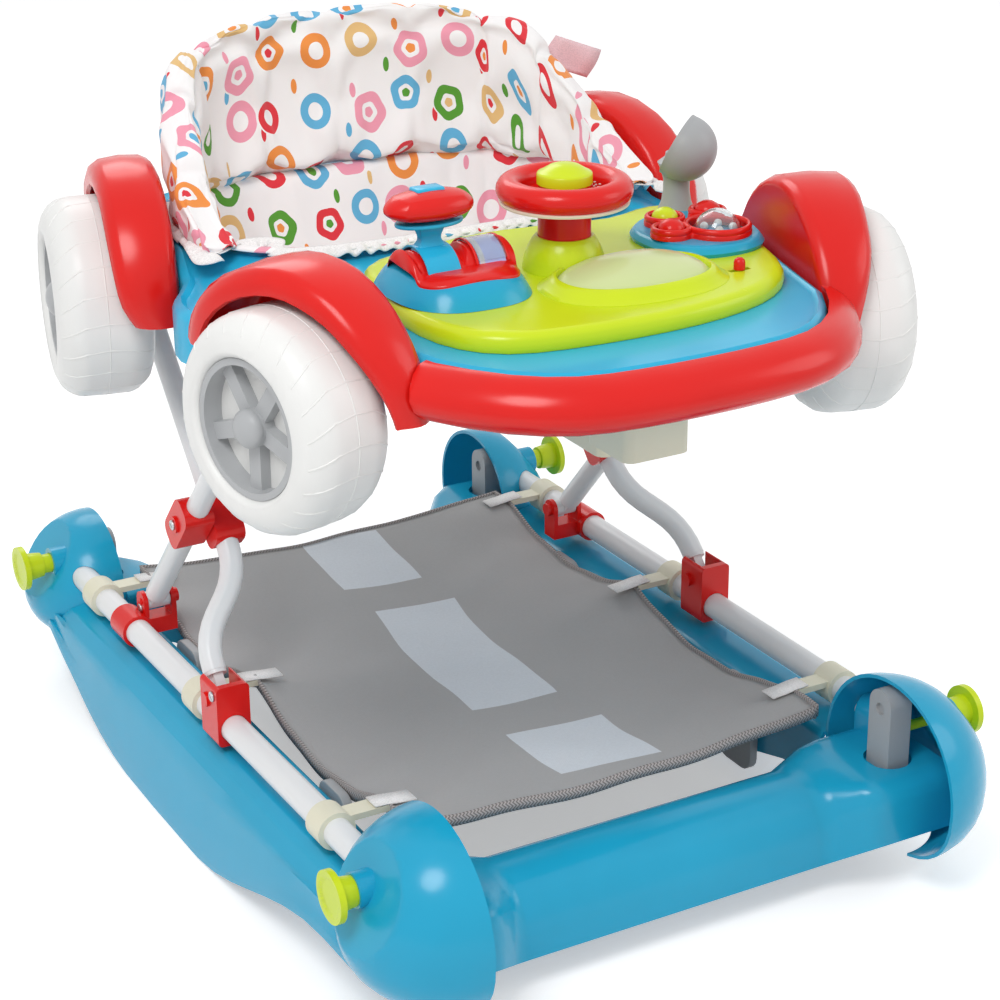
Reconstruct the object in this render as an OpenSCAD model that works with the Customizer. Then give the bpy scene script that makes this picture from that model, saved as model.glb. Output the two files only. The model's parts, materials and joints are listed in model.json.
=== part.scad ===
// Baby walker that turns into a rocker: a rocking base on rail tubes, a folding scissor frame, and a
// car-shaped body with a seat and a play tray. Millimetres, Z up, the front of the car towards -Y.
// It stands in rocker mode, with its castors drawn up inside the corner domes.

/* [Base] */
// Half distance between the two rail tubes
rail_x = 226; // [222:0.5:230]
// Height of the rail tubes above the floor
rail_z = 108; // [107:0.5:112]
// Radius of the rail tubes
rail_r = 11; // [10:0.25:11]
// Wall of the steel tubes
tube_wall = 1.2; // [1:0.1:2]
// Wall of the moulded plastic shells
shell = 3; // [2:0.25:4]
// Half distance between the castors, side to side
castor_x = 200; // [197:0.5:202]
// Half distance between the castors, front to back
castor_y = 316; // [314:0.5:318]
// Radius of the front corner domes
front_dome_r = 79; // [77:0.5:81]
// Radius of the rear corner domes
rear_dome_r = 65; // [63:0.5:67]
// Height of the decks that the castor legs stand in
deck_z = 96; // [94:0.5:96]
// Length of the flat stretch of the rockers, front of the centre
flat_front = 30; // [0:5:60]
// Length of the flat stretch of the rockers, behind the centre
flat_rear = 110; // [80:5:140]
// Height of the rocker's front end above the floor
rocker_front_rise = 47; // [30:1:60]
// Height of the rocker's rear end above the floor
rocker_rear_rise = 34; // [20:1:50]

/* [Castors] */
// Diameter of the castor wheels
castor_d = 42; // [36:1:44]
// Width of a castor wheel
castor_w = 16; // [12:1:18]
// Distance that a castor leg slides down
castor_drop = 30; // [26:1:32]
// Height of the castor wheels above the floor in rocker mode
castor_lift = 20; // [18:0.5:21]
// Width of a castor leg across the car
leg_bar_w = 20; // [18:0.5:22]
// Depth of a castor leg along the car
leg_bar_d = 26; // [22:0.5:28]
// Height of the lock knobs
knob_z = 118; // [114:0.5:122]
// Travel of a lock knob
knob_travel = 8; // [6:0.5:10]

/* [Scissor frame] */
// Radius of the leg tubes
leg_r = 9.5; // [8.5:0.25:9.5]
// Height of the lower leg pivots
pivot_z = 128; // [126:0.5:130]
// Distance of the rear leg's pivot behind the centre
rear_pivot_y = 176; // [172:1:180]
// Distance of the front slider in front of the centre
slider_y = 20; // [17:0.5:23]
// Height of the crossing
cross_z = 236; // [230:1:242]
// Upper part of a leg, as a multiple of its lower part
upper_ratio = 1.3; // [1.27:0.01:1.32]
// Half distance between the two sides of the rear leg
leg_a_x = 205; // [204.5:0.25:205.5]
// Half distance between the upper sides of the front leg
leg_b_x = 182; // [181.5:0.25:182.5]

/* [Body] */
// Height of the tray's rim
rim_z = 465; // [460:1:470]
// Depth of the tray's skirt
skirt_h = 60; // [50:1:66]
// Half width of the seat opening
seat_x = 178; // [170:1:182]
// Front edge of the seat opening
seat_front_y = -8; // [-12:1:0]
// Rear edge of the seat opening
seat_rear_y = 212; // [205:1:216]
// Radius of the toy wheels
toy_r = 79; // [76:0.5:79]
// Width of the toy wheels
toy_w = 76; // [70:1:78]
// Toy wheel centre height
toy_z = 415; // [412:1:420]
// Front toy wheels: half distance, side to side
toy_front_x = 236; // [235:0.5:240]
// Front toy wheels: distance in front of the centre
toy_front_y = 183; // [180:1:186]
// Front toy wheels: angle that they are turned outwards
toy_front_toe = 15; // [13:0.5:16]
// Rear toy wheels: half distance, side to side
toy_rear_x = 248; // [246:0.5:252]
// Rear toy wheels: distance behind the centre
toy_rear_y = 145; // [142:1:148]
// Rear toy wheels: angle that they are turned outwards
toy_rear_toe = 13; // [11:0.5:14]
// Height of the seat's top edge
seat_top_z = 595; // [585:1:605]
// Depth of the seat bag's lowest point
seat_bottom_z = 318; // [312:1:330]

/* [Play tray] */
// Thickness of the lime console
console_h = 14; // [12:0.5:16]
// Steering wheel: outer radius
wheel_r = 50; // [46:0.5:52]
// Steering wheel: height of its centre
wheel_z = 535; // [530:1:542]
// Travel of the horn and the buttons
button_travel = 3; // [2:0.25:4]
// Angle that the gear lever tilts each way
lever_tilt = 14; // [8:1:18]
// Height of the mirror's top
mirror_top_z = 559; // [550:1:570]

/* [Hidden] */
$fn = 48;

// clearances
hair = 0.3; // between separate pieces
run = 0.05; // round a turning pin
slip = 0.35; // round a sliding tube

// colours
blue = "#2FB4DA";
red = "#E62B21";
lime = "#D6E63C";
cream = "#ECE9D6";
tube_white = "#EDEFF0";
grey = "#A2A4A5";
tyre_white = "#F4F4F4";
fabric = "#F3F0F0";

// base: the two crosswise beams and the domes on their ends
beam_z = 27;
beam_h = 58;
beam_front_y = -288;
beam_rear_y = 290;
beam_half_depth = 42;
deck_half_depth = 52;
deck_from = 128;
deck_to = 172;
dome_x = 190;
rear_dome_x = 200;
front_dome_y = -323;
front_dome_z = 86;
rear_dome_z = 84;
dome_face_x = 195;
dome_flat = 0.76;
dish_depth = 11;
knob_face = 272;
guide_h = 18;
boss_r = rail_r + 6;
rail_front_y = -276;
rail_rear_y = 292;
rocker_in_x = 190;
rocker_out_x = 262;
rocker_top = 88;
rocker_front_y = -246;
rocker_rear_y = 262;
mat_z = 112;
mat_t = 3;
mat_front_y = -250;
mat_rear_y = 268;
edge_sag = 24;
end_sag = 11;
middle_sag = 20;
mat_x = 181.5;
clip_y = [-213, 20, 245];
clip_w = 22;

// scissor frame: two equal legs that cross at their pin
leg_run = (rear_pivot_y + slider_y) / 2;
leg_rise = cross_z - pivot_z;
lower_leg = norm([leg_run, leg_rise]);
leg_length = lower_leg * (1 + upper_ratio);
leg_lean = atan2(leg_run, leg_rise);
cross_y = (rear_pivot_y - slider_y) / 2;
front_bar_y = cross_y - upper_ratio * leg_run;
rear_bar_y = cross_y + upper_ratio * leg_run;
bar_z = cross_z + upper_ratio * leg_rise;
fold_max = 26;
bar_y_at_fold = rear_bar_y - 2 * upper_ratio * lower_leg * sin(leg_lean + fold_max);
leg_bend_r = 50;
pivot_pin_r = 3;
cross_pin_r = 3.5;

// body
deck_top = rim_z - 3;
side_drop = 20;
wheel_gap = 15;
arch_gap = 7;
fender_face = toy_w / 2 + wheel_gap;
skirt_z = rim_z - skirt_h;
front_skirt_rise = 20;
seat_mid_y = (seat_front_y + seat_rear_y) / 2;
seat_half_y = (seat_rear_y - seat_front_y) / 2;
lip_z = rim_z + 1;
console_z = deck_top + hair;
console_top = console_z + console_h;
adjuster_x = 27;
adjuster_front_y = -292;
adjuster_rear_y = -25;
adjuster_bottom = bar_z - leg_r - 4;
rack_x = 20;
box_rear_y = -236;
box_bottom = 375;
bearing_x = 60;

// ---- helpers

function mix(a, b, t) = a + (b - a) * t;
function ease(t) = let (c = min(max(t, 0), 1)) c * c * (3 - 2 * c);
function total(v) = v * [for (x = v) 1];
function unit(v) = v / norm(v);
function reversed(v) = [for (i = [len(v) - 1:-1:0]) v[i]];
function last(v) = v[len(v) - 1];

// A smooth curve through the keys
function between(a, b, c, d, t) =
  0.5 * (2 * b + (c - a) * t + (2 * a - 5 * b + 4 * c - d) * t * t + (3 * b - a - 3 * c + d) * t * t * t);
function smooth_closed(keys, steps) = let (n = len(keys))
  [for (i = [0:n - 1], s = [0:steps - 1])
    between(keys[(i + n - 1) % n], keys[i], keys[(i + 1) % n], keys[(i + 2) % n], s / steps)];
function smooth_open(keys, steps) = let (n = len(keys) - 1)
  concat([for (i = [0:n - 1], s = [0:steps - 1])
    between(keys[max(i - 1, 0)], keys[i], keys[i + 1], keys[min(i + 2, n)], s / steps)], [last(keys)]);

// A full outline from its right half, which runs from the front to the back
function mirrored(half) =
  concat(half, [for (p = reversed(half)) if (abs(p[0]) > 0.01) [-p[0], p[1]]]);

// Outward normal of a counter-clockwise closed outline
function normal_at(c, i) = let (n = len(c), d = unit(c[(i + 1) % n] - c[(i + n - 1) % n])) [d[1], -d[0]];
function moved_out(c, d) = [for (i = [0:len(c) - 1]) c[i] + d * normal_at(c, i)];
function raised(c, z) = [for (p = c) [p[0], p[1], z]];

// Rounded corners by quadratic arcs
function rounded(path, r, steps) = [for (i = [0:len(path) - 1]) each
  (i == 0 || i == len(path) - 1) ? [path[i]] :
    let (a = path[i] + r * unit(path[i - 1] - path[i]), b = path[i] + r * unit(path[i + 1] - path[i]))
      [for (s = [0:steps]) let (t = s / steps)
        (1 - t) * (1 - t) * a + 2 * t * (1 - t) * path[i] + t * t * b]];

function box_outline(w, h, r) = [for (q = [0:3], s = [0:4])
  let (a = 90 * q + 22.5 * s, sx = (q == 0 || q == 3) ? 1 : -1, sy = q < 2 ? 1 : -1)
    [sx * (w / 2 - r) + r * cos(a), sy * (h / 2 - r) + r * sin(a)]];

// Superellipse
function lobe(t, n) = sign(t) * pow(abs(t), 2 / n);
function oval(cx, cy, a, b, n, count = 40) = [for (i = [0:count - 1]) let (t = 360 * i / count)
  [cx + a * lobe(cos(t), n), cy + b * lobe(sin(t), n)]];

function fan(points, f) = total([for (i = [1:len(f) - 2])
  points[f[0]] * cross(points[f[i]], points[f[i + 1]])]);

// A solid through a row of rings. A closed one joins its last ring to its first.
module loft(rings, closed = false) {
  n = len(rings[0]);
  m = len(rings);
  points = [for (r = rings) each r];
  walls = [for (j = [0:(closed ? m : m - 1) - 1], i = [0:n - 1])
    let (k = (j + 1) % m, a = j * n + i, b = j * n + (i + 1) % n, c = k * n + (i + 1) % n, d = k * n + i)
      each [[a, b, c], [a, c, d]]];
  caps = closed ? [] : [[for (i = [n - 1:-1:0]) i], [for (i = [0:n - 1]) (m - 1) * n + i]];
  faces = concat(walls, caps);
  inward = total([for (f = faces) fan(points, f)]) < 0;
  polyhedron(points, inward ? faces : [for (f = faces) reversed(f)], convexity = 8);
}

// A bent tube along a path in the local XZ plane
function tube_ring(path, i, r, sides) =
  let (n = len(path) - 1, t = unit(path[min(i + 1, n)] - path[max(i - 1, 0)]))
    [for (k = [0:sides - 1]) let (a = 360 * (k + 0.5) / sides)
      [path[i][0] - t[1] * r * cos(a), r * sin(a), path[i][1] + t[0] * r * cos(a)]];
module bent_tube(path, r, wall, sides = 16) {
  out = [for (i = [0:len(path) - 1]) tube_ring(path, i, r, sides)];
  inn = [for (i = [len(path) - 1:-1:0]) tube_ring(path, i, r - wall, sides)];
  loft(concat(out, inn), closed = true);
}

module both_sides() {
  for (side = [0, 1]) {
    mirror([side, 0, 0]) children();
  }
}

module x_pin(x0, x1, r) {
  translate([x0, 0, 0]) rotate([0, 90, 0]) cylinder(r = r, h = x1 - x0);
}

module y_pin(y0, y1, r) {
  translate([0, y1, 0]) rotate([90, 0, 0]) cylinder(r = r, h = y1 - y0);
}

// A lens-shaped dome shell, open below: half lengths a and b, height h
function dome_rings(cx, cy, z, a, b, h, n = 2.4, count = 32) =
  [for (e = [0:15:75]) raised(oval(cx, cy, a * cos(e), b * cos(e), n, count), z + h * sin(e))];
module shell_dome(cx, cy, z, a, b, h, t) {
  outer = dome_rings(cx, cy, z, a, b, h);
  inner = dome_rings(cx, cy, z, a - t, b - t, h - t);
  difference() {
    loft(concat(outer, [raised(oval(cx, cy, 0.06 * a, 0.06 * b, 2, 32), z + h)]));
    translate([0, 0, -0.01])
      loft(concat(inner, [raised(oval(cx, cy, 0.06 * a, 0.06 * b, 2, 32), z + h - t)]));
  }
}

// ---- base

// Section of a beam: an arch in the YZ plane, open below
function arch(yc, a, zb, zt, n, t) = let (steps = 12,
    outer = [for (i = [0:steps]) let (e = 180 * i / steps)
      [yc - a * lobe(cos(e), n), zb + (zt - zb) * lobe(sin(e), n)]],
    inner = [for (i = [steps:-1:0]) let (e = 180 * i / steps)
      [yc - (a - t) * lobe(cos(e), n), zb + (zt - t - zb) * lobe(sin(e), n)]])
  concat(outer, inner);

function beam_ring(x, front) =
  let (e = ease((abs(x) - deck_from) / (deck_to - deck_from)),
       ymid = front ? beam_front_y : beam_rear_y,
       yc = mix(ymid, front ? -castor_y + 12 : castor_y - 6, e),
       a = mix(beam_half_depth, front ? deck_half_depth : 50, e))
    [for (p = arch(yc, a, mix(beam_z, 46, e), mix(beam_z + beam_h, deck_z, e), mix(2.4, 6, e), shell))
      [x, p[0], p[1]]];

beam_end = 236;
beam_stations = [-beam_end, -205, -deck_to, -157, -143, -deck_from, -100, -65, -30, 0,
  30, 65, 100, deck_from, 143, 157, deck_to, 205, beam_end];

// Centre and radius of the right corner dome. The base reaches as far back as it reaches forwards.
function dome_r(front) = front ? front_dome_r : rear_dome_r;
function dome_at(front) = front ? [dome_x, front_dome_y, front_dome_z] :
  [rear_dome_x, front_dome_r - front_dome_y - rear_dome_r, rear_dome_z];
function knob_reach(front) = let (c = dome_at(front), ky = front ? -castor_y : castor_y)
  c[0] + sqrt(pow(dome_r(front), 2) - pow(knob_z - c[2], 2) - pow(ky - c[1], 2));

function dome_profile(r) = concat(
  [for (e = [-90:10:0]) [r * lobe(cos(e), 2.4), dome_flat * r * lobe(sin(e), 2.4)]],
  [for (e = [7.5:7.5:90]) [r * cos(e), r * sin(e)]]);
module dome_ball(front, shrink) {
  translate(dome_at(front)) rotate_extrude($fn = 96) polygon(dome_profile(dome_r(front) - shrink));
}

module beam(front) {
  intersection() {
    loft([for (x = beam_stations) beam_ring(x, front)]);
    union() {
      cube([2 * (dome_face_x - hair), 1000, 400], center = true);
      both_sides() dome_ball(front, shell + hair);
    }
  }
}

module castor_well(front) {
  way = front ? -1 : 1;
  both_sides() translate([castor_x, way * castor_y, 0]) {
    translate([0, 0, deck_z - 6]) cylinder(r = 18.5, h = 20);
    translate([-leg_bar_w / 2 - hair, -leg_bar_d / 2 - hair, 0])
      cube([leg_bar_w + 2 * hair, leg_bar_d + 2 * hair, 150]);
  }
}

module castor_guide(front) {
  way = front ? -1 : 1;
  both_sides() translate([castor_x, way * castor_y, deck_z - guide_h])
    translate([-leg_bar_w / 2 - 4, -leg_bar_d / 2 - 4, 0])
      cube([leg_bar_w + 8, leg_bar_d + 8, guide_h - 1.5]);
}

// A blind socket that holds the end of a rail tube
module rail_boss(front) {
  y0 = front ? rail_front_y - 14 : rail_rear_y - 12;
  y1 = front ? rail_front_y + 14 : rail_rear_y + 5;
  both_sides() difference() {
    union() {
      translate([rail_x, 0, rail_z]) y_pin(y0, y1, boss_r);
      translate([rail_x - boss_r, y0, deck_z - 12]) cube([2 * boss_r, y1 - y0, rail_z - deck_z + 12]);
    }
    translate([rail_x, 0, rail_z])
      y_pin(front ? rail_front_y : y0 - 1, front ? y1 + 1 : rail_rear_y, rail_r + run);
  }
}

module beam_part(front) {
  color(blue) difference() {
    union() {
      beam(front);
      intersection() {
        union() {
          castor_guide(front);
          rail_boss(front);
        }
        both_sides() dome_ball(front, shell + hair);
      }
      intersection() {
        castor_guide(front);
        cube([2 * (dome_face_x - hair), 1000, 400], center = true);
      }
    }
    castor_well(front);
  }
}

module front_beam() {
  beam_part(true);
}

module rear_beam() {
  beam_part(false);
}

// The room that a castor needs to turn and to be pushed down
module castor_sweep() {
  wheel_room = castor_trail + castor_d / 2 + 4;
  crown_room = castor_trail + 14;
  wheel_top = leg_bottom - 26;
  translate([0, 0, -1]) cylinder(r = wheel_room, h = wheel_top + 1);
  translate([0, 0, wheel_top - hair]) cylinder(r1 = wheel_room, r2 = crown_room, h = 14);
  translate([0, 0, wheel_top + 13]) cylinder(r = crown_room, h = 16);
}

// Half-ball corner covers. Each has a flat round dish with a sleeve for its lock knob.
module dome_cover(front) {
  r = dome_r(front);
  c = dome_at(front);
  ky = front ? -castor_y : castor_y;
  reach = knob_reach(front);
  tilt = atan2(knob_z - c[2], reach - c[0]);
  difference() {
    union() {
      intersection() {
        difference() {
          dome_ball(front, 0);
          intersection() {
            dome_ball(front, shell);
            translate(c) rotate([0, -tilt, 0]) translate([-2 * r, -2 * r, -2 * r])
              cube([3 * r - dish_depth - shell, 4 * r, 4 * r]);
          }
        }
        translate(c) rotate([0, -tilt, 0]) translate([-2 * r, -2 * r, -2 * r])
          cube([3 * r - dish_depth, 4 * r, 4 * r]);
      }
      translate([0, ky, knob_z]) x_pin(reach - dish_depth - 8, reach - 3, 13);
    }
    translate([dome_face_x - 400, -500, -100]) cube([400, 1000, 500]);
    translate([castor_x, ky, 0]) castor_sweep();
    translate([0, ky, knob_z]) x_pin(dome_face_x, 400, 4 + run);
    translate([0, ky, knob_z]) x_pin(reach - 7, 400, 9);
    translate([rail_x, 0, rail_z])
      y_pin(front ? rail_front_y : -500, front ? 500 : rail_rear_y, rail_r + slip);
  }
}

module front_domes() {
  color(blue) both_sides() dome_cover(true);
}

module rear_domes() {
  color(blue) both_sides() dome_cover(false);
}

// Curved rocker runners: a channel, open below, with the rail tube just above it
function rocker_bottom(y) =
  y < -flat_front ? rocker_front_rise * ease((-flat_front - y) / (-flat_front - rocker_front_y)) :
  y > flat_rear ? rocker_rear_rise * pow((y - flat_rear) / (rocker_rear_y - flat_rear), 2) : 0;

function rocker_ring(y) = let (
    zb = rocker_bottom(y),
    slim = 6 * pow(min(abs(y) / 250, 1), 2),
    xo = rocker_out_x - slim,
    out = [[rocker_in_x, zb], [rocker_in_x, rocker_top - 8], [rocker_in_x + 3, rocker_top - 2],
      [rocker_in_x + 9, rocker_top], [rail_x + 6, rocker_top], [rail_x + 16, rocker_top - 5],
      [rail_x + 23, rocker_top - 15], [rail_x + 27, mix(zb, rocker_top, 0.62)],
      [xo - 3, mix(zb, rocker_top, 0.3)], [xo, zb + 8], [xo, zb]],
    t = shell,
    inn = [[xo - t, zb], [xo - t, zb + 8], [xo - 3 - t, mix(zb, rocker_top, 0.3) - 1],
      [rail_x + 27 - t, mix(zb, rocker_top, 0.62) - 1], [rail_x + 23 - t, rocker_top - 15 - 1],
      [rail_x + 15, rocker_top - 5 - t], [rail_x + 5, rocker_top - t], [rocker_in_x + 9, rocker_top - t],
      [rocker_in_x + t + 2, rocker_top - t - 2], [rocker_in_x + t, rocker_top - 9], [rocker_in_x + t, zb]])
  [for (p = concat(out, inn)) [p[0], y, p[1]]];

module rocker(side) {
  stations = [for (i = [0:20]) mix(rocker_front_y - 76, rocker_rear_y + 50, i / 20)];
  color(blue) mirror([side < 0 ? 1 : 0, 0, 0]) difference() {
    loft([for (y = stations) rocker_ring(y)]);
    dome_ball(true, -hair);
    dome_ball(false, -hair);
    translate([castor_x, -castor_y, 0]) castor_sweep();
    translate([castor_x, castor_y, 0]) castor_sweep();
    translate([0, -700 + rocker_front_y, -100]) cube([dome_face_x + hair, 700, 300]);
    translate([0, rocker_rear_y - 24, -100]) cube([dome_face_x + hair, 700, 300]);
  }
}

module rocker_left() {
  rocker(-1);
}

module rocker_right() {
  rocker(1);
}

module rail_tubes() {
  color(tube_white) both_sides() translate([rail_x, 0, rail_z]) difference() {
    y_pin(rail_front_y, rail_rear_y, rail_r);
    y_pin(rail_front_y - 1, rail_rear_y + 1, rail_r - tube_wall);
  }
}

// Play mat: it hangs from its clips and sags between them and in the middle
function mat_sag(x, y) = let (
    across = pow(x / mat_x, 2),
    along = (y - mat_front_y) / (mat_rear_y - mat_front_y),
    i = y < clip_y[0] ? -1 : y < clip_y[1] ? 0 : y < clip_y[2] ? 1 : -1,
    side = i < 0 ? 0 : edge_sag * sin(180 * (y - clip_y[i]) / (clip_y[i + 1] - clip_y[i])))
  across * side + (1 - across) * (end_sag + middle_sag * sin(180 * along));
module play_mat() {
  xs = [for (i = [-4:4]) mat_x * i / 4];
  ys = [mat_front_y, clip_y[0], -165, -110, -60, -15, clip_y[1], 60, 105, 150, 200, clip_y[2], mat_rear_y];
  color("#A9A9A9") loft([for (y = ys) concat([for (x = xs) [x, y, mat_z - mat_sag(x, y)]],
    [for (x = reversed(xs)) [x, y, mat_z - mat_sag(x, y) + mat_t]])]);
}

// Clips that snap round the rail tubes, each with a web tab under the edge of the mat
module mat_clips() {
  color(cream) both_sides() for (y = clip_y) {
    translate([rail_x, 0, rail_z]) difference() {
      union() {
        y_pin(y - clip_w / 2, y + clip_w / 2, rail_r + 4);
        translate([mat_x + hair - rail_x, y - clip_w / 2 + 3, mat_z - 1 - rail_z])
          cube([rail_x - mat_x - rail_r, clip_w - 6, 5]);
      }
      y_pin(y - clip_w, y + clip_w, rail_r + run);
    }
  }
}

// Red saddles that carry the rear leg: a ring on the rail, two ears and a pin
rear_ear_in = 188;
module rear_clamps() {
  ring_r = rail_r + 3;
  color(red) both_sides() translate([0, rear_pivot_y, 0]) {
    difference() {
      union() {
        translate([rail_x, 0, rail_z]) y_pin(-15, 15, ring_r);
        translate([leg_a_x + 8, -9, rail_z - 8]) cube([4, 18, pivot_z - rail_z + 8]);
        translate([0, 0, pivot_z]) x_pin(leg_a_x + 8, leg_a_x + 12, 9);
        translate([rear_ear_in, -9, rail_z - 8]) cube([4, 18, pivot_z - rail_z + 8]);
        translate([0, 0, pivot_z]) x_pin(rear_ear_in, rear_ear_in + 4, 9);
        translate([rear_ear_in, -9, rail_z - 8]) cube([leg_a_x + 12 - rear_ear_in, 18, 14]);
      }
      translate([rail_x, 0, rail_z]) y_pin(-20, 20, rail_r + run);
    }
    translate([0, 0, pivot_z]) {
      x_pin(rear_ear_in - 2, leg_a_x + 13, pivot_pin_r);
      x_pin(rear_ear_in - 4, rear_ear_in, 6);
    }
  }
}

// Grey stop pads on the inner walls of the rockers
module rocker_pads() {
  color(grey) both_sides() for (y = [-138, 146]) {
    translate([rocker_in_x, y, rocker_top / 2 + 8]) rotate([0, -90, 0])
      linear_extrude(8) polygon(box_outline(rocker_top - 8, 46, 12));
  }
}

// ---- castors: side is -1 or 1, way is -1 at the front and 1 at the rear

leg_bottom = castor_lift + castor_d + 12;
castor_trail = 12;

module at_castor(side, way) {
  translate([side * castor_x, way * castor_y, 0]) mirror([side < 0 ? 1 : 0, 0, 0]) children();
}

module castor_leg(side, way) {
  top = knob_z + castor_drop + (way < 0 ? 8 : -9);
  groove = knob_travel - 2;
  color(grey) at_castor(side, way) difference() {
    union() {
      translate([-leg_bar_w / 2, -leg_bar_d / 2, leg_bottom])
        cube([leg_bar_w, leg_bar_d, top - leg_bar_d / 2 - leg_bottom]);
      translate([0, 0, top - leg_bar_d / 2]) x_pin(-leg_bar_w / 2, leg_bar_w / 2, leg_bar_d / 2);
    }
    translate([0, 0, leg_bottom - 1]) cylinder(r = 4 + run, h = 21);
    translate([leg_bar_w / 2 - groove, -4.5, knob_z - 5]) cube([10, 9, 100]);
    translate([0, 0, top - 16]) x_pin(-leg_bar_w, 3 - leg_bar_w / 2, 5);
  }
}

module castor_knob(side, way) {
  reach = knob_reach(way < 0) - castor_x;
  face = knob_face - castor_x;
  color(lime) at_castor(side, way) translate([0, 0, knob_z]) {
    x_pin(leg_bar_w / 2 - knob_travel + 3, reach + 2, 4);
    x_pin(reach - 6.5, face - 3, 8.5);
    translate([face - 5, 0, 0]) rotate([0, 90, 0]) cylinder(r1 = 8.5, r2 = 13, h = 5.5);
    translate([face, 0, 0]) rotate([0, 90, 0]) difference() {
      cylinder(r = 19.5, h = 5);
      translate([0, 0, 3.5]) cylinder(r1 = 12, r2 = 17, h = 2);
    }
  }
}

module castor_fork(side, way) {
  axle_z = castor_lift + castor_d / 2;
  arm_x = castor_w / 2 + 1;
  color(grey) at_castor(side, way) difference() {
    union() {
      translate([0, 0, leg_bottom - 8]) cylinder(r = 4, h = 26);
      translate([0, 0, leg_bottom - 8]) cylinder(r = arm_x + 4, h = 8 - hair);
      translate([-arm_x - 4, 0, leg_bottom - 8]) cube([2 * arm_x + 8, castor_trail + 6, 5]);
      for (x = [-arm_x - 4, arm_x]) {
        translate([x, castor_trail - 6, axle_z]) cube([4, 12, leg_bottom - 8 - axle_z + 2]);
        translate([0, castor_trail, axle_z]) x_pin(x, x + 4, 6);
      }
      translate([0, castor_trail, axle_z]) x_pin(-arm_x - 1, arm_x + 1, 2.5);
    }
    translate([0, castor_trail, axle_z]) difference() {
      x_pin(-arm_x, arm_x, castor_d / 2 + 2);
      x_pin(-arm_x - 1, arm_x + 1, 2.5);
    }
  }
}

module castor_wheel(side, way) {
  color("#4A4D50") at_castor(side, way)
    translate([-castor_w / 2, castor_trail, castor_lift + castor_d / 2]) rotate([0, 90, 0]) difference() {
      rotate_extrude() polygon([[2.5 + run, 0], [7, 0], [7, 3], [castor_d / 2 - 6, 3],
        [castor_d / 2 - 6, 0], [castor_d / 2 - 2, 0], [castor_d / 2, 2.5], [castor_d / 2, castor_w - 2.5],
        [castor_d / 2 - 2, castor_w], [castor_d / 2 - 6, castor_w], [castor_d / 2 - 6, castor_w - 3],
        [7, castor_w - 3], [7, castor_w], [2.5 + run, castor_w]]);
    }
}

// ---- scissor frame

module on_rear_leg() {
  translate([0, rear_pivot_y, pivot_z]) rotate([leg_lean, 0, 0]) children();
}

module on_front_leg() {
  translate([0, -slider_y, pivot_z]) rotate([-leg_lean, 0, 0]) children();
}

rear_leg_from = 14;
front_leg_from = 20;

module rear_leg_frame() {
  path = rounded([[-leg_a_x, rear_leg_from], [-leg_a_x, leg_length], [leg_a_x, leg_length],
    [leg_a_x, rear_leg_from]], leg_bend_r, 6);
  color(tube_white) on_rear_leg() difference() {
    union() {
      bent_tube(path, leg_r, tube_wall);
      both_sides() {
        x_pin(rear_ear_in + 4.5, leg_a_x + 7.5, 7.5);
        translate([leg_a_x - 5, -7, 0]) cube([10, 14, rear_leg_from - 1]);
        translate([leg_a_x, 0, rear_leg_from - 3]) cylinder(r = leg_r - 0.5, h = 5);
      }
    }
    x_pin(-leg_a_x - 20, leg_a_x + 20, pivot_pin_r + run);
    translate([0, 0, lower_leg]) x_pin(-leg_a_x - 20, leg_a_x + 20, cross_pin_r + run);
  }
}

front_leg_path = rounded([[-rail_x, front_leg_from], [-rail_x, 46], [-leg_b_x, 96], [-leg_b_x, leg_length],
  [leg_b_x, leg_length], [leg_b_x, 96], [rail_x, 46], [rail_x, front_leg_from]], 24, 5);

module front_leg_frame() {
  color(tube_white) on_front_leg() difference() {
    union() {
      bent_tube(front_leg_path, leg_r, tube_wall);
      both_sides() {
        x_pin(rail_x - 4, rail_x + 4, 5);
        translate([rail_x - 4, -5, 0]) cube([8, 10, front_leg_from - 1]);
        translate([rail_x, 0, front_leg_from - 3]) cylinder(r = leg_r - 0.5, h = 5);
      }
    }
    x_pin(-rail_x - 20, rail_x + 20, pivot_pin_r + run);
    translate([0, 0, lower_leg]) x_pin(-leg_b_x - 20, leg_b_x + 20, cross_pin_r + run);
  }
}

housing_gap = (leg_a_x - leg_b_x) / 2;
housing_mid = leg_b_x + housing_gap;
module housing(x_in, x_out) {
  translate([x_in, 0, lower_leg]) rotate([0, 90, 0])
    linear_extrude(x_out - x_in) polygon(box_outline(50, 27, 9));
}

// Outer housings, clamped on the rear leg, with the pins that both legs turn on
module crossing_outer() {
  color(red) on_rear_leg() both_sides() {
    difference() {
      housing(housing_mid + 0.5, leg_a_x + 14);
      translate([leg_a_x, 0, 0]) cylinder(r = leg_r + run, h = leg_length);
    }
    translate([0, 0, lower_leg]) {
      x_pin(leg_b_x - 16, leg_a_x + 14, cross_pin_r);
      x_pin(leg_a_x + 14, leg_a_x + 16, 7);
      x_pin(leg_b_x - 16.5, leg_b_x - 14.3, 7);
    }
  }
}

module crossing_inner() {
  color(red) on_front_leg() both_sides() difference() {
    housing(leg_b_x - 14, housing_mid - 0.5);
    translate([leg_b_x, 0, 0]) cylinder(r = leg_r + run, h = leg_length);
    translate([0, 0, lower_leg]) x_pin(0, leg_a_x + 20, cross_pin_r + run);
  }
}

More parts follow.
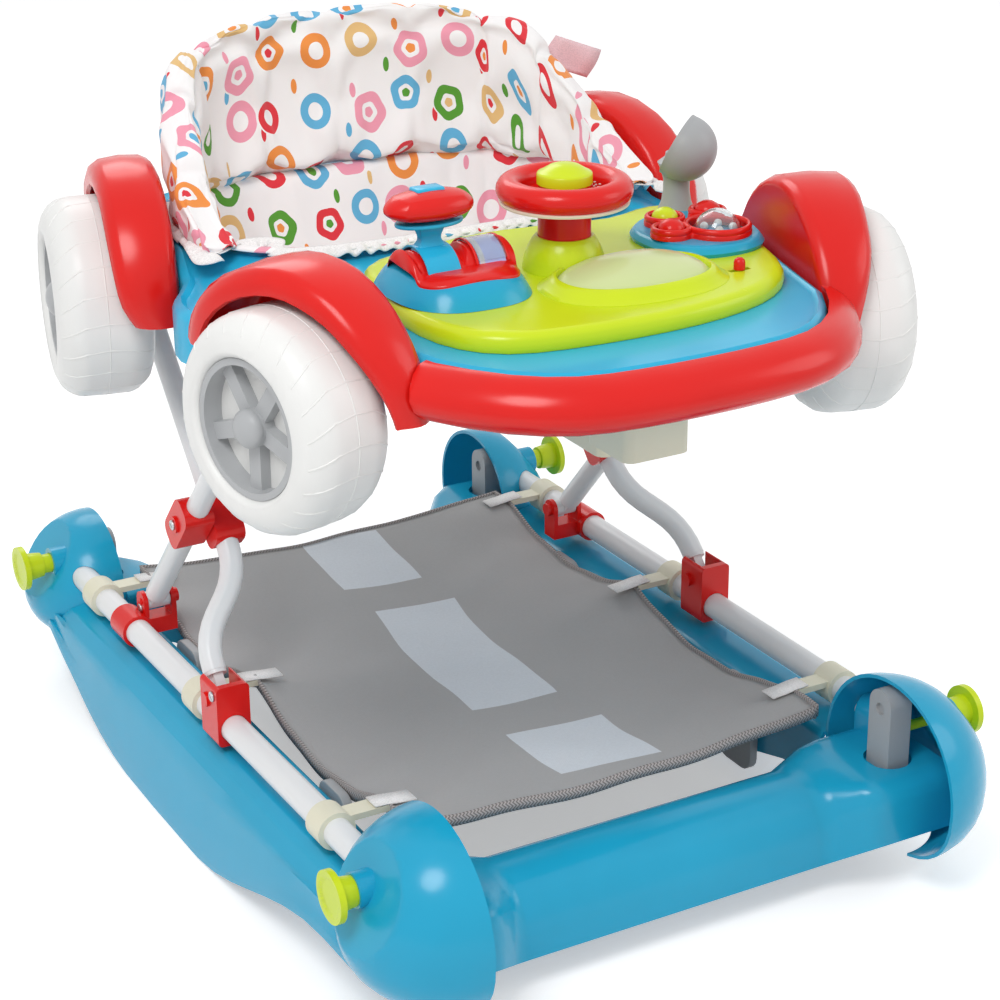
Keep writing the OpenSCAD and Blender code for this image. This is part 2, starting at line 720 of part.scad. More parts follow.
// Red blocks that slide on the rails and carry the front leg
block_x = [212, 240];
module slider_blocks() {
  slot = [rail_x - leg_r - 1, rail_x + leg_r + 1];
  color(red) both_sides() {
    difference() {
      translate([(block_x[0] + block_x[1]) / 2, -slider_y - 5, rail_z + 11.5]) rotate([90, 0, 0])
        translate([0, 0, -16]) linear_extrude(32) polygon(box_outline(block_x[1] - block_x[0], 51, 4));
      translate([rail_x, 0, rail_z]) y_pin(-slider_y - 30, -slider_y + 30, rail_r + slip);
      translate([slot[0], -slider_y - 15, rail_z + rail_r + 2]) cube([slot[1] - slot[0], 60, 60]);
    }
    translate([0, -slider_y, pivot_z]) {
      x_pin(block_x[0] - 1, block_x[1] + 1, pivot_pin_r);
      x_pin(block_x[0] - 3, block_x[0], 6);
      x_pin(block_x[1], block_x[1] + 2, 6);
    }
  }
}

// ---- body

// Toy wheel frames: the axis points outwards along the local X
module at_toy(side, way) {
  x = way < 0 ? toy_front_x : toy_rear_x;
  y = way < 0 ? -toy_front_y : toy_rear_y;
  toe = way < 0 ? -toy_front_toe : toy_rear_toe;
  mirror([side < 0 ? 1 : 0, 0, 0]) translate([x, y, toy_z]) rotate([0, 0, toe]) children();
}

// Distance across the car of a plane that lies d inboard of a toy wheel's centre
function beside_front(y, d) =
  toy_front_x + (-d + sin(toy_front_toe) * (y + toy_front_y)) / cos(toy_front_toe);
function beside_rear(y, d) = toy_rear_x + (-d - sin(toy_rear_toe) * (y - toy_rear_y)) / cos(toy_rear_toe);

wall_d = fender_face + hair;
no_limit = 1000;
tray_half = [[0, -343], [50, -341], [92, -333], [128, -308], [beside_front(-262, wall_d), -262],
  [beside_front(-225, wall_d), -225], [beside_front(-180, wall_d), -180],
  [beside_front(-135, wall_d), -135], [beside_front(-72, wall_d), -72], [232, -44], [241, -12],
  [233, 20], [beside_rear(34, wall_d), 34], [beside_rear(66, wall_d), 66], [beside_rear(105, wall_d), 105],
  [beside_rear(150, wall_d), 150], [beside_rear(195, wall_d), 195], [158, 232], [115, 247], [60, 252],
  [0, 253]];
function tray_limit(y) = y > -290 && y < -66 ? beside_front(y, wall_d) :
  y > 30 && y < 255 ? beside_rear(y, wall_d) : no_limit;
tray_outline = [for (p = smooth_closed(mirrored(tray_half), 2))
  [sign(p[0]) * min(abs(p[0]), tray_limit(p[1])), p[1]]];

function seat_edge(p, grow) =
  let (t = atan2((p[1] - seat_mid_y) / seat_half_y, p[0] / seat_x), n = 3,
       k = pow(pow(abs(cos(t)), n) + pow(abs(sin(t)), n), -1 / n))
    [k * cos(t) * (seat_x + grow), seat_mid_y + k * sin(t) * (seat_half_y + grow)];
function seat_ring(grow, z) = [for (p = tray_outline) let (q = seat_edge(p, grow)) [q[0], q[1], z]];
function side_bulge(p) = ease((abs(p[0]) - 196) / 40) * (p[1] < 60 && p[1] > -120 ? 1 : 0);
function skirt_at(p) = skirt_z + front_skirt_rise * ease((-p[1] - 130) / 70);
function skirt_ring(out) = let (c = moved_out(tray_outline, out))
  [for (i = [0:len(c) - 1]) [c[i][0], c[i][1], skirt_at(tray_outline[i])]];
function wall_ring(out, z, drop) = let (c = moved_out(tray_outline, out))
  [for (i = [0:len(c) - 1]) [c[i][0], c[i][1], z - drop * side_drop * side_bulge(tray_outline[i])]];
function deck_ring(inset, t, z, drop) = let (c = moved_out(tray_outline, -inset))
  [for (i = [0:len(c) - 1]) let (q = seat_edge(tray_outline[i], 8), p = mix(c[i], q, t))
    [p[0], p[1], z - drop * side_drop * side_bulge(tray_outline[i])]];

module tray_shell() {
  t = shell;
  rings = [
    skirt_ring(-t), skirt_ring(0), wall_ring(0, mix(skirt_z, rim_z, 0.55), 0.6),
    wall_ring(0, rim_z - 8, 1), wall_ring(-2, rim_z - 3, 1), wall_ring(-7, rim_z, 1),
    deck_ring(11, 0, deck_top, 1), deck_ring(11, 0.4, deck_top, 0.5), deck_ring(11, 0.94, deck_top, 0),
    seat_ring(6, lip_z), seat_ring(1, lip_z), seat_ring(0, lip_z - 2), seat_ring(0, lip_z - 26),
    seat_ring(t, lip_z - 26), seat_ring(t, deck_top - t - 1),
    deck_ring(11, 0.94, deck_top - t - 1, 0), deck_ring(11, 0.4, deck_top - t, 0.5),
    deck_ring(11, 0, deck_top - t, 1),
    wall_ring(-5 - t, rim_z - t - 3, 1), wall_ring(-t, rim_z - 9, 1),
    wall_ring(-t, mix(skirt_z, rim_z, 0.55), 0.6)];
  color(blue) difference() {
    union() {
      loft(rings, closed = true);
      both_sides() {
        for (way = [-1, 1]) {
          at_toy(1, way) x_pin(-fender_face - 6, 0, 8);
          at_toy(1, way) x_pin(-fender_face - 6, -fender_face + 3, 20);
        }
        translate([bearing_x, rear_bar_y - 14, bar_z]) {
          x_pin(0, 12, 15);
          cube([12, seat_rear_y + 20 - rear_bar_y + 14, 18]);
          translate([0, seat_rear_y + 6 - rear_bar_y + 14, 0]) cube([12, 14, deck_top - 2 - bar_z]);
        }
      }
    }
    translate([0, rear_bar_y, bar_z]) x_pin(-100, 100, leg_r + run);
  }
}

// Bumper: a D-shaped channel that follows the front of the tray up to the front fenders
bumper_section = [[0.4, 0], [8, -1], [16, -6], [22, -13], [25, -21], [23, -29], [16, -35], [8, -39],
  [0.4, -41], [0.4, -38], [7, -36], [14, -32.5], [20, -27], [22, -21], [19, -14.5], [14, -9],
  [7.4, -4], [0.4, -3]];
module bumper() {
  span = [for (i = [0:len(tray_outline) - 1]) if (tray_outline[i][1] < -205) i];
  right = [for (i = span) if (tray_outline[i][0] >= 0) i];
  left = [for (i = span) if (tray_outline[i][0] < 0) i];
  order = concat(left, right);
  color(red) difference() {
    loft([for (i = order) let (p = tray_outline[i], n = normal_at(tray_outline, i))
      [for (q = bumper_section) [p[0] + q[0] * n[0], p[1] + q[0] * n[1], rim_z + q[1]]]]);
    both_sides() at_toy(1, -1) x_pin(-120, 60, toy_r + arch_gap + 15);
  }
}

// Fenders: bands round the toy wheels. Each key is [angle, lip, crown radius], where the angle is up from
// the front of the wheel and the lip is how far the outer edge stands out from the wheel's centre.
front_fender_keys = [[5, -24, 96], [15, -20, 98], [30, -12, 100.5], [45, -5, 102], [60, -1, 104],
  [75, 3, 106], [92, 6, 107], [110, 11, 107], [130, 14, 107], [146, 13, 107], [158, 10, 106]];
rear_fender_keys = [[0, -18, 101], [10, -9, 102], [24, -5, 104], [45, -3, 106], [65, -3, 107], [90, -3, 107],
  [115, -3, 107], [135, -4, 106], [152, -8, 104], [165, -18, 101]];

function fender_section(lip, crown, foot) = let (inner = -fender_face, t = shell, low = toy_r + arch_gap)
  [[inner, foot], [inner, crown - 8], [inner + 3, crown - 3], [inner + 9, crown],
   [mix(inner, lip, 0.5), crown + 1],
   [lip - 9, crown - 1], [lip - 3, crown - 5], [lip, mix(low, crown, 0.4)], [lip - 1, low + 1],
   [lip - 4, low],
   [lip - 6, low + 2], [lip - 7, mix(low, crown, 0.4)], [lip - 10, crown - t - 3],
   [mix(inner, lip, 0.5), crown - t], [inner + 9, crown - t - 0.5], [inner + 5, crown - 7],
   [inner + t, crown - 10], [inner + t, foot]];

module fender(keys) {
  steps = 2;
  curve = smooth_open(keys, steps);
  loft([for (k = curve) let (
      foot = min(k[2] - 13, (rim_z - toy_z - 12) / max(sin(k[0]), 0.2)))
    [for (p = fender_section(k[1], k[2], foot)) [p[0], -p[1] * cos(k[0]), p[1] * sin(k[0])]]]);
}

module front_fenders() {
  color(red) both_sides() at_toy(1, -1) fender(front_fender_keys);
}

module rear_fenders() {
  color(red) both_sides() at_toy(1, 1) fender(rear_fender_keys);
}

// Toy wheel: a blow-moulded tyre, a five-spoked rim and a hub cap
rim_r = 50;
dish = 20;
module toy_wheel(side, way) {
  w = toy_w / 2;
  t = 3;
  hub = 8 + run;
  outer = concat([[hub, -w]], [for (a = [-90:15:0]) [toy_r - 24 + 24 * cos(a), -w + 24 + 24 * sin(a)]],
    [for (a = [0:15:90]) [toy_r - 24 + 24 * cos(a), w - 24 + 24 * sin(a)]],
    [[rim_r + 2, w - 2], [rim_r, w - 5], [rim_r, w - dish], [hub, w - dish]]);
  inner = concat([[hub + t, -w + t]],
    [for (a = [-90:15:0]) [toy_r - 24 + 21 * cos(a), -w + 24 + 21 * sin(a)]],
    [for (a = [0:15:90]) [toy_r - 24 + 21 * cos(a), w - 24 + 21 * sin(a)]],
    [[rim_r + 4, w - 5], [rim_r + t, w - 8], [rim_r + t, w - dish - t], [hub + t, w - dish - t]]);
  at_toy(side, way) rotate([0, 90, 0]) {
    color(tyre_white) rotate_extrude($fn = 96) difference() {
      polygon(outer);
      polygon(inner);
    }
    color("#BFBFBF") translate([0, 0, w - dish - 0.5]) {
      difference() {
        cylinder(r = rim_r - 0.1, h = dish - 4);
        translate([0, 0, -1]) cylinder(r = rim_r - 5, h = dish + 2);
      }
      for (i = [0:4]) {
        rotate([0, 0, 72 * i]) difference() {
          translate([8, -6, 0]) cube([rim_r - 12, 12, 9]);
          cylinder(r = 13, h = dish);
        }
      }
      difference() {
        cylinder(r = 13.5, h = 13);
        translate([0, 0, -1]) cylinder(r = hub, h = 9);
      }
    }
    color("#8F9091") translate([0, 0, w - dish + 12]) {
      cylinder(r = 11, h = 3);
      cylinder(r1 = 9, r2 = 7, h = 5);
    }
  }
}

// Lime console on the front of the tray
console_half = [
  [-60, -46], [0, -36], [55, -42], [105, -50], [150, -38], [186, -58], [186, -110], [172, -165],
  [150, -226], [105, -262], [40, -279], [-40, -280], [-106, -266], [-137, -222], [-138, -150], [-118, -72]];
console_outline = smooth_closed(reversed(console_half), 3);
column_x = 7;
column_y = -150;
neck_r = 19.5;
neck_from = 12;
column_foot_r = 31;
dome_top = 24.5;
button_hole_x = 78;
button_hole_y = -228;
mirror_x = 157;
mirror_y = -70;
switch_x = 112;
switch_y = -222;
switch_travel = 5;

// Dome on the console round the steering column's neck
module column_dome() {
  bore = neck_r + hair;
  translate([column_x, column_y, console_top - 1]) rotate_extrude() polygon([
    [8, 0], [column_foot_r, 0], [column_foot_r, 2], [column_foot_r - 2, 11], [column_foot_r - 4.2, 17],
    [column_foot_r - 7.2, 22.5], [neck_r + 1.7, dome_top + 1], [bore, dome_top + 1],
    [bore, neck_from + 1], [8, neck_from + 1]]);
}

module console() {
  rings = [
    raised(moved_out(console_outline, -1), console_z), raised(console_outline, console_z + 3),
    raised(moved_out(console_outline, -1), console_top - 5),
    raised(moved_out(console_outline, -4), console_top - 1),
    raised(moved_out(console_outline, -9), console_top)];
  color(lime) difference() {
    union() {
      loft(rings);
      column_dome();
    }
    translate([column_x, column_y, console_z - 1]) cylinder(r = 9, h = console_h + 2 + neck_from);
    translate([button_hole_x, button_hole_y, console_top - 1.5]) cylinder(r = 9, h = 2);
    translate([mirror_x, mirror_y, console_top - 10]) cylinder(r = 4 + run, h = 11);
    translate([switch_x - 4 - switch_travel, switch_y - 2.5, console_top - 6])
      cube([8 + 2 * switch_travel, 5, 7]);
  }
}

// Cream box under the console. The front bar of the scissor frame slides in the slots of the rack behind it.
module height_adjuster() {
  top = deck_top - shell - 1 - hair;
  wall = 3;
  slot_from = bar_y_at_fold - leg_r - 8;
  slot_to = front_bar_y + leg_r + 3;
  color(cream) difference() {
    union() {
      adjuster_body([adjuster_x, adjuster_front_y, box_rear_y, box_bottom], top);
      adjuster_body([rack_x, box_rear_y - 10, adjuster_rear_y, adjuster_bottom], top);
    }
    adjuster_body(
      [adjuster_x - wall, adjuster_front_y + wall, box_rear_y - wall, box_bottom + wall], top + 1);
    adjuster_body(
      [rack_x - wall, box_rear_y - 10 + wall, adjuster_rear_y - wall, adjuster_bottom + wall], top + 1);
    translate([-rack_x - 1, slot_from, bar_z - leg_r - 0.6])
      cube([2 * rack_x + 2, slot_to - slot_from, 2 * leg_r + 1.2]);
  }
}

// A box with rounded upright edges: half width, front, rear and bottom
module adjuster_body(b, top) {
  translate([0, (b[1] + b[2]) / 2, b[3]]) linear_extrude(top - b[3])
    polygon(box_outline(2 * b[0], b[2] - b[1], 8));
}

// ---- play tray

pod_x = -88;
pod_y = -154;
pod_top = console_top + 22;
lever_x = -106;
lever_pivot_z = console_top + 9;
drum_x = -66;
drum_z = console_top + 11.5;
drum_r = 8;
handle_z = 535;
cover_size = [74, 72];

module pod_openings(z, h) {
  reach = 8 + (pod_top - lever_pivot_z) * tan(lever_tilt);
  translate([lever_x - 6, pod_y - reach, z]) cube([12, 2 * reach, h]);
  translate([drum_x - 13, pod_y - 12, z]) cube([26, 26, h]);
}

module gear_pod() {
  a = 50;
  b = 57;
  z = console_top + hair;
  h = pod_top - z;
  outer = [raised(oval(pod_x, pod_y, a, b, 2.6), z), raised(oval(pod_x, pod_y, a + 1, b + 1, 2.6), z + 5),
    raised(oval(pod_x, pod_y, a - 1, b - 1, 2.7), z + 12),
    raised(oval(pod_x, pod_y, a - 5, b - 6, 2.8), z + 18),
    raised(oval(pod_x, pod_y, a - 11, b - 13, 2.8), pod_top)];
  inner = [
    raised(oval(pod_x, pod_y, a - 3, b - 3, 2.6), z + 2.5),
    raised(oval(pod_x, pod_y, a - 2, b - 2, 2.6), z + 5),
    raised(oval(pod_x, pod_y, a - 4, b - 4, 2.7), z + 11),
    raised(oval(pod_x, pod_y, a - 8, b - 9, 2.8), z + 16),
    raised(oval(pod_x, pod_y, a - 13, b - 15, 2.8), pod_top - 2.5)];
  color(blue) {
    difference() {
      loft(outer);
      loft(inner);
      pod_openings(pod_top - 8, 20);
    }
    difference() {
      for (x = [lever_x - 11, lever_x + 8, drum_x - 15.5, drum_x + 12.5]) {
        translate([x, pod_y - 6, z + 2.5]) cube([3, 12, lever_pivot_z + 4 - z - 2.5]);
      }
      translate([0, pod_y, lever_pivot_z]) x_pin(lever_x - 20, lever_x + 12, 2.5 + run);
      translate([0, pod_y, drum_z]) x_pin(drum_x - 18, drum_x + 20, 2 + run);
    }
  }
}

module pod_cover() {
  color(red) difference() {
    translate([pod_x, pod_y, pod_top]) linear_extrude(3)
      polygon(box_outline(cover_size[0], cover_size[1], 12));
    pod_openings(pod_top - 1, 20);
  }
}

module gear_lever() {
  top = handle_z - 8;
  color(red) {
    translate([0, pod_y, lever_pivot_z]) {
      x_pin(lever_x - 11, lever_x + 11, 2.5);
      x_pin(lever_x - 4.5, lever_x + 4.5, 5.5);
    }
    translate([lever_x - 4.5, pod_y - 3.5, lever_pivot_z]) cube([9, 7, top + 2 - lever_pivot_z]);
    translate([0, 0, top]) loft([
      raised(oval(lever_x, pod_y, 12, 8, 2), 0), raised(oval(lever_x, pod_y, 30, 17, 2.2), 4),
      raised(oval(lever_x, pod_y, 32, 18, 2.2), 10), raised(oval(lever_x, pod_y, 26, 14, 2.2), 15),
      raised(oval(lever_x, pod_y, 12, 6, 2.2), 17)]);
  }
}

module picture_drum() {
  color("#6CB8DE") translate([0, pod_y, drum_z]) {
    x_pin(drum_x - 12.2, drum_x + 12.2, drum_r);
    x_pin(drum_x - 15.4, drum_x + 15.4, 2);
  }
}

module steering_column() {
  color(red) translate([column_x, column_y, 0]) {
    translate([0, 0, console_z]) cylinder(r = 9 - run, h = console_top + neck_from + 1 - console_z);
    translate([0, 0, console_top + neck_from + hair])
      cylinder(r = neck_r, h = wheel_z - 18 - console_top - neck_from - hair);
    translate([0, 0, console_top]) cylinder(r = 5, h = wheel_z + 2 - console_top);
  }
}

module steering_wheel() {
  rim = 9.5;
  color(red) translate([column_x, column_y, wheel_z]) {
    difference() {
      union() {
        rotate_extrude($fn = 72) translate([wheel_r - rim, 0]) circle(r = rim);
        translate([0, 0, -12]) cylinder(r1 = 22, r2 = wheel_r - rim, h = 9);
        translate([0, 0, -17.5]) cylinder(r = 22, h = 12);
        translate([0, 0, -3.5]) cylinder(r = 19, h = 9);
      }
      translate([0, 0, -30]) cylinder(r = 5 + run, h = 32 + hair);
      translate([0, 0, 2 + hair]) cylinder(r = 14 + run, h = 20);
    }
  }
}

horn_r = 19;
module horn_button() {
  color(lime) translate([column_x, column_y, wheel_z + 2 + 2 * hair + button_travel]) {
    cylinder(r = 14, h = 3.6);
    translate([0, 0, 3.5]) cylinder(r = horn_r, h = 2);
    translate([0, 0, 5.5]) cylinder(r1 = horn_r, r2 = horn_r - 5, h = 2.5);
  }
}

lens_x = 31;
lens_y = -207;
module music_lens() {
  color("#DCE7A0") difference() {
    shell_dome(lens_x, lens_y, console_top, 60, 39, 20, 2);
    translate([column_x, column_y, console_top - 1]) cylinder(r = column_foot_r + run, h = 40);
  }
}

// Cluster panel: a low dish with bores for three push buttons
cluster = [129, -141];
cluster_h = 9;
buttons = [["lime", 113, -121, lime], ["back", 152, -121, red], ["front", 100, -150, red]];
button_r = 10.5;
rattle = [136, -158];

module cluster_panel() {
  z = console_top;
  color(blue) difference() {
    loft([
      raised(oval(cluster[0], cluster[1], 46, 50, 2.4), z),
      raised(oval(cluster[0], cluster[1], 47, 51, 2.4), z + 3),
      raised(oval(cluster[0], cluster[1], 45, 49, 2.4), z + 6),
      raised(oval(cluster[0], cluster[1], 42, 46, 2.4), z + cluster_h)]);
    for (b = buttons) {
      translate([b[1], b[2], z + cluster_h - button_travel - 4]) cylinder(r = button_r + 0.1, h = 20);
    }
  }
}

module cluster_button(i) {
  b = buttons[i];
  color(b[3]) translate([b[1], b[2], console_top + cluster_h - 4 + hair]) {
    cylinder(r = button_r, h = 5);
    translate([0, 0, 5]) cylinder(r1 = button_r, r2 = 8, h = 2);
    translate([0, 0, 7]) cylinder(r1 = 8, r2 = 4, h = 1.2);
  }
}

module rattle_dome() {
  color("#D8E4E8") translate([rattle[0], rattle[1], console_top + cluster_h]) {
    difference() {
      sphere(r = 18);
      sphere(r = 16.5);
      translate([0, 0, -20]) cylinder(r = 30, h = 20);
    }
    difference() {
      cylinder(r = 20, h = 2.5);
      translate([0, 0, -1]) cylinder(r = 18, h = 5);
    }
  }
}

// Round mirror in a domed housing on a neck that swivels in the console. It looks back and up at the child.
mirror_r = 25.5;
mirror_turn = 42;
mirror_tip = 27;
module mirror_stand() {
  z = console_top + hair;
  neck = [[0, 11, 10], [4, 9, 9], [12, 6.5, 6], [28, 7, 7], [40, 10, 10], [48, 9, 9]];
  color(grey) {
    translate([mirror_x, mirror_y, console_top - 10 + hair]) cylinder(r = 4, h = 11);
    loft([for (s = neck) raised(oval(mirror_x, mirror_y, s[1], s[2], 2, 24), z + s[0])]);
    translate([mirror_x - 4, mirror_y, mirror_top_z - mirror_r]) rotate([0, 0, mirror_turn])
      rotate([mirror_tip - 90, 0, 0]) translate([0, 0, -7]) difference() {
        union() {
          intersection() {
            translate([0, 0, -3]) sphere(r = mirror_r + 0.3, $fn = 64);
            translate([-40, -40, -40]) cube([80, 80, 40]);
          }
          cylinder(r = mirror_r, h = 4);
        }
        translate([0, 0, 3]) cylinder(r = mirror_r - 3, h = 2);
      }
  }
}

module power_switch() {
  color(red) translate([switch_x, switch_y, console_top + hair]) {
    translate([-4, -2.2, -5]) cube([8, 4.4, 6]);
    linear_extrude(4) polygon(box_outline(11, 8, 2));
  }
}

// ---- seat

// Padded wall round the back and the sides of the child. Each key is [x, y, height of the top edge].
seat_keys = [[-201, 30, 478], [-200, 66, 499], [-196, 94, 526], [-189, 123, 549], [-178, 155, 572],
  [-163, 185, 588], [-138, 212, 596], [-76, 234, seat_top_z + 5], [0, 241, seat_top_z + 5]];
pad_t = 22;
module seat_back() {
  right_keys = reversed([for (i = [0:len(seat_keys) - 2]) seat_keys[i]]);
  keys = concat(seat_keys, [for (k = right_keys) [-k[0], k[1], k[2]]]);
  curve = smooth_open(keys, 2);
  n = len(curve) - 1;
  z = lip_z + 4 + 2 * hair;
  color(fabric) loft([for (i = [0:n]) let (
      d = unit([for (j = [0:1]) curve[min(i + 1, n)][j] - curve[max(i - 1, 0)][j]]),
      out = [-d[1], d[0]], p = curve[i], h = max(p[2] - z, 5), lean = 0.04 * h)
    [for (q = [[0, 0], [0, 0.5], [0, 0.9], [-0.25, 1], [-0.75, 1], [-1, 0.9], [-1.05, 0.5], [-1, 0]])
      [p[0] + out[0] * (q[0] * pad_t + lean * (q[1] - 1)),
        p[1] + out[1] * (q[0] * pad_t + lean * (q[1] - 1)),
       z + q[1] * h]]]);
}

// Seat bag: hangs from a hem on the tray's lip, with two leg holes
module seat_sling() {
  t = 4;
  hem = 12;
  function bag(a, b, cy, z) = raised(oval(0, cy, a, b, 3, 44), z);
  c = seat_mid_y;
  outer = [
    bag(seat_x - 3, seat_half_y - 4, c, lip_z - 10), bag(seat_x - 8, seat_half_y - 10, c - 2, lip_z - 40),
    bag(150, 84, c - 6, lip_z - 82), bag(118, 66, c - 8, lip_z - 122),
    bag(70, 40, c - 10, seat_bottom_z + 5),
    bag(26, 16, c - 10, seat_bottom_z)];
  inner = [bag(26, 16, c - 10, seat_bottom_z + t), bag(68, 38, c - 10, seat_bottom_z + 5 + t),
    bag(118 - t, 66 - t, c - 8, lip_z - 120), bag(150 - t, 84 - t, c - 6, lip_z - 80),
    bag(seat_x - 8 - t, seat_half_y - 10 - t, c - 2, lip_z - 39),
    bag(seat_x - 3 - t, seat_half_y - 4 - t, c, lip_z - 8)];
  flange_up = [
    bag(seat_x - 2 - t, seat_half_y - 3 - t, c, lip_z + hair + t),
    bag(seat_x + hem, seat_half_y + hem, c, lip_z + hair + t)];
  flange_low = [
    bag(seat_x + hem, seat_half_y + hem, c, lip_z + hair),
    bag(seat_x - 3, seat_half_y - 4, c, lip_z + hair)];
  color(fabric) difference() {
    loft(concat(outer, inner, flange_up, flange_low), closed = true);
    both_sides() translate([58, seat_front_y + 36, seat_bottom_z + 34]) rotate([50, 0, 0])
      cylinder(r = 37, h = 150, center = true);
  }
}

// ---- what each name draws

front_beam();
rear_beam();
rocker_left();
rocker_right();
front_domes();
rear_domes();
rail_tubes();
play_mat();
mat_clips();
rear_clamps();
rocker_pads();
castor_leg(-1, -1);  // castor_leg_fl
castor_leg(1, -1);  // castor_leg_fr
castor_leg(-1, 1);  // castor_leg_rl
castor_leg(1, 1);  // castor_leg_rr
castor_knob(-1, -1);  // castor_knob_fl
castor_knob(1, -1);  // castor_knob_fr
castor_knob(-1, 1);  // castor_knob_rl
castor_knob(1, 1);  // castor_knob_rr
castor_fork(-1, -1);  // castor_fork_fl
castor_fork(1, -1);  // castor_fork_fr
castor_fork(-1, 1);  // castor_fork_rl
castor_fork(1, 1);  // castor_fork_rr
castor_wheel(-1, -1);  // castor_wheel_fl
castor_wheel(1, -1);  // castor_wheel_fr
castor_wheel(-1, 1);  // castor_wheel_rl
castor_wheel(1, 1);  // castor_wheel_rr
rear_leg_frame();
front_leg_frame();
crossing_outer();
crossing_inner();
slider_blocks();
tray_shell();
bumper();
front_fenders();
rear_fenders();
console();
height_adjuster();
toy_wheel(-1, -1);  // toy_wheel_fl
toy_wheel(1, -1);  // toy_wheel_fr
toy_wheel(-1, 1);  // toy_wheel_rl
toy_wheel(1, 1);  // toy_wheel_rr
gear_pod();
pod_cover();
gear_lever();
picture_drum();
steering_column();
steering_wheel();
horn_button();
music_lens();
cluster_panel();
cluster_button(0);  // cluster_button_lime
cluster_button(1);  // cluster_button_back
cluster_button(2);  // cluster_button_front
rattle_dome();
mirror_stand();  // mirror
power_switch();
seat_back();
seat_sling();
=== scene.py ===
import json
import math

import bpy
from mathutils import Matrix, Vector
from mathutils.bvhtree import BVHTree


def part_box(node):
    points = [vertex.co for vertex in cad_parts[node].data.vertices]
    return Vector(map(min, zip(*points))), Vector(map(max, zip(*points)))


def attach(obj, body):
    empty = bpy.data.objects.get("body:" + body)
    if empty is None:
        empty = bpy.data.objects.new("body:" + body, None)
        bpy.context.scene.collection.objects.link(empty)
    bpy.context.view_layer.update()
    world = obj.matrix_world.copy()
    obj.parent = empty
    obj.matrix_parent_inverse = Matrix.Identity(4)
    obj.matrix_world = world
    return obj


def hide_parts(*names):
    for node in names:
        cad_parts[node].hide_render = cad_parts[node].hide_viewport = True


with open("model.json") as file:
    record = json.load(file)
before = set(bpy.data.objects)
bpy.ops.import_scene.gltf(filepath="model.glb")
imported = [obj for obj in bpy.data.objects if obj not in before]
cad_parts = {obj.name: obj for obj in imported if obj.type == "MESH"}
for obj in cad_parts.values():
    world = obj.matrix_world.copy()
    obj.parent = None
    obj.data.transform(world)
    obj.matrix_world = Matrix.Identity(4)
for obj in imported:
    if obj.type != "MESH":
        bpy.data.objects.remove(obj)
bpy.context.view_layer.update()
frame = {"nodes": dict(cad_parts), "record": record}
MM = 0.001

# Places on the tray, in metres, from the CAD source's own figures
CONSOLE_TOP, CONSOLE_BOTTOM = 0.4763, 0.4623
POD_X, POD_Y = -0.088, -0.154
DRUM_X = -0.066

# ---------------------------------------------------------------- materials


def linear(colour):
    """An sRGB hex value as the linear colour that a shader wants."""
    parts = [int(colour[i:i + 2], 16) / 255 for i in (1, 3, 5)]
    return [p / 12.92 if p <= 0.04045 else ((p + 0.055) / 1.055) ** 2.4 for p in parts] + [1]


def add(tree, kind, inputs=(), output=0, stops=(), **settings):
    """Adds a node with its settings and colour stops, sets or links its inputs, and gives back one output."""
    made = tree.nodes.new("ShaderNode" + kind)
    for key, value in settings.items():
        setattr(made, key, value)
    for key, value in (inputs if isinstance(inputs, dict) else dict(enumerate(inputs))).items():
        if isinstance(value, bpy.types.NodeSocket):
            tree.links.new(value, made.inputs[key])
        else:
            made.inputs[key].default_value = value
    for index, (place, value) in enumerate(stops):
        band = made.color_ramp.elements
        stop = band[index] if index < len(band) else band.new(1.0)
        stop.position, stop.color = place, value
    return made.outputs[output] if made.outputs else made


def material_of(name):
    material = bpy.data.materials.new(name)
    material.use_nodes = True
    material.node_tree.nodes.clear()
    return material, material.node_tree


def painted(material, sockets):
    """Ends a material with its shader. What isn't a pattern is a value on the shader's own socket."""
    tree = material.node_tree
    add(tree, "OutputMaterial", {"Surface": add(tree, "BsdfPrincipled", sockets)})
    return material


def moulded(name, colour, roughness, grain, depth, cloudy=0.04):
    """Injection-moulded plastic: an even pigment with a faint flow cloud, under the mould's own grain."""
    material, tree = material_of(name)
    place = add(tree, "TexCoord", output="Object")
    cloud = add(tree, "TexNoise", {"Vector": place, "Scale": 1 / (70 * MM), "Detail": 2.0})
    smear = add(tree, "TexNoise", {"Vector": place, "Scale": 1 / (18 * MM), "Detail": 3.0})
    skin = add(tree, "TexNoise", {"Vector": place, "Scale": 1 / grain, "Detail": 2.0})
    base = linear(colour)
    deeper = [c * (1 - cloudy) for c in base[:3]] + [1]
    return painted(material, {
        "Base Color": add(tree, "ValToRGB", {"Fac": cloud}, stops=[(0.35, deeper), (0.65, base)]),
        "Roughness": add(tree, "MapRange", {"Value": smear, "To Min": roughness * 0.8,
                                            "To Max": roughness * 1.25}),
        "Normal": add(tree, "Bump", {"Height": skin, "Distance": depth, "Strength": 0.5}),
        "IOR": 1.49, "Specular IOR Level": 0.32})


# Polypropylene from a polished mould: deep even colour and sharp, slightly rippled highlights
blue_pp = moulded("polypropylene_sky_blue", "#1FA6CE", 0.2, 3 * MM, 0.02 * MM)
tray_pp = moulded("polypropylene_light_blue", "#2CB4DE", 0.2, 3 * MM, 0.02 * MM)
red_pp = moulded("polypropylene_signal_red", "#E01B16", 0.22, 3 * MM, 0.02 * MM)
lime_pp = moulded("polypropylene_lime", "#CFE220", 0.24, 3 * MM, 0.02 * MM)
white_pp = moulded("polypropylene_white", "#EDEDEB", 0.35, 2 * MM, 0.04 * MM)
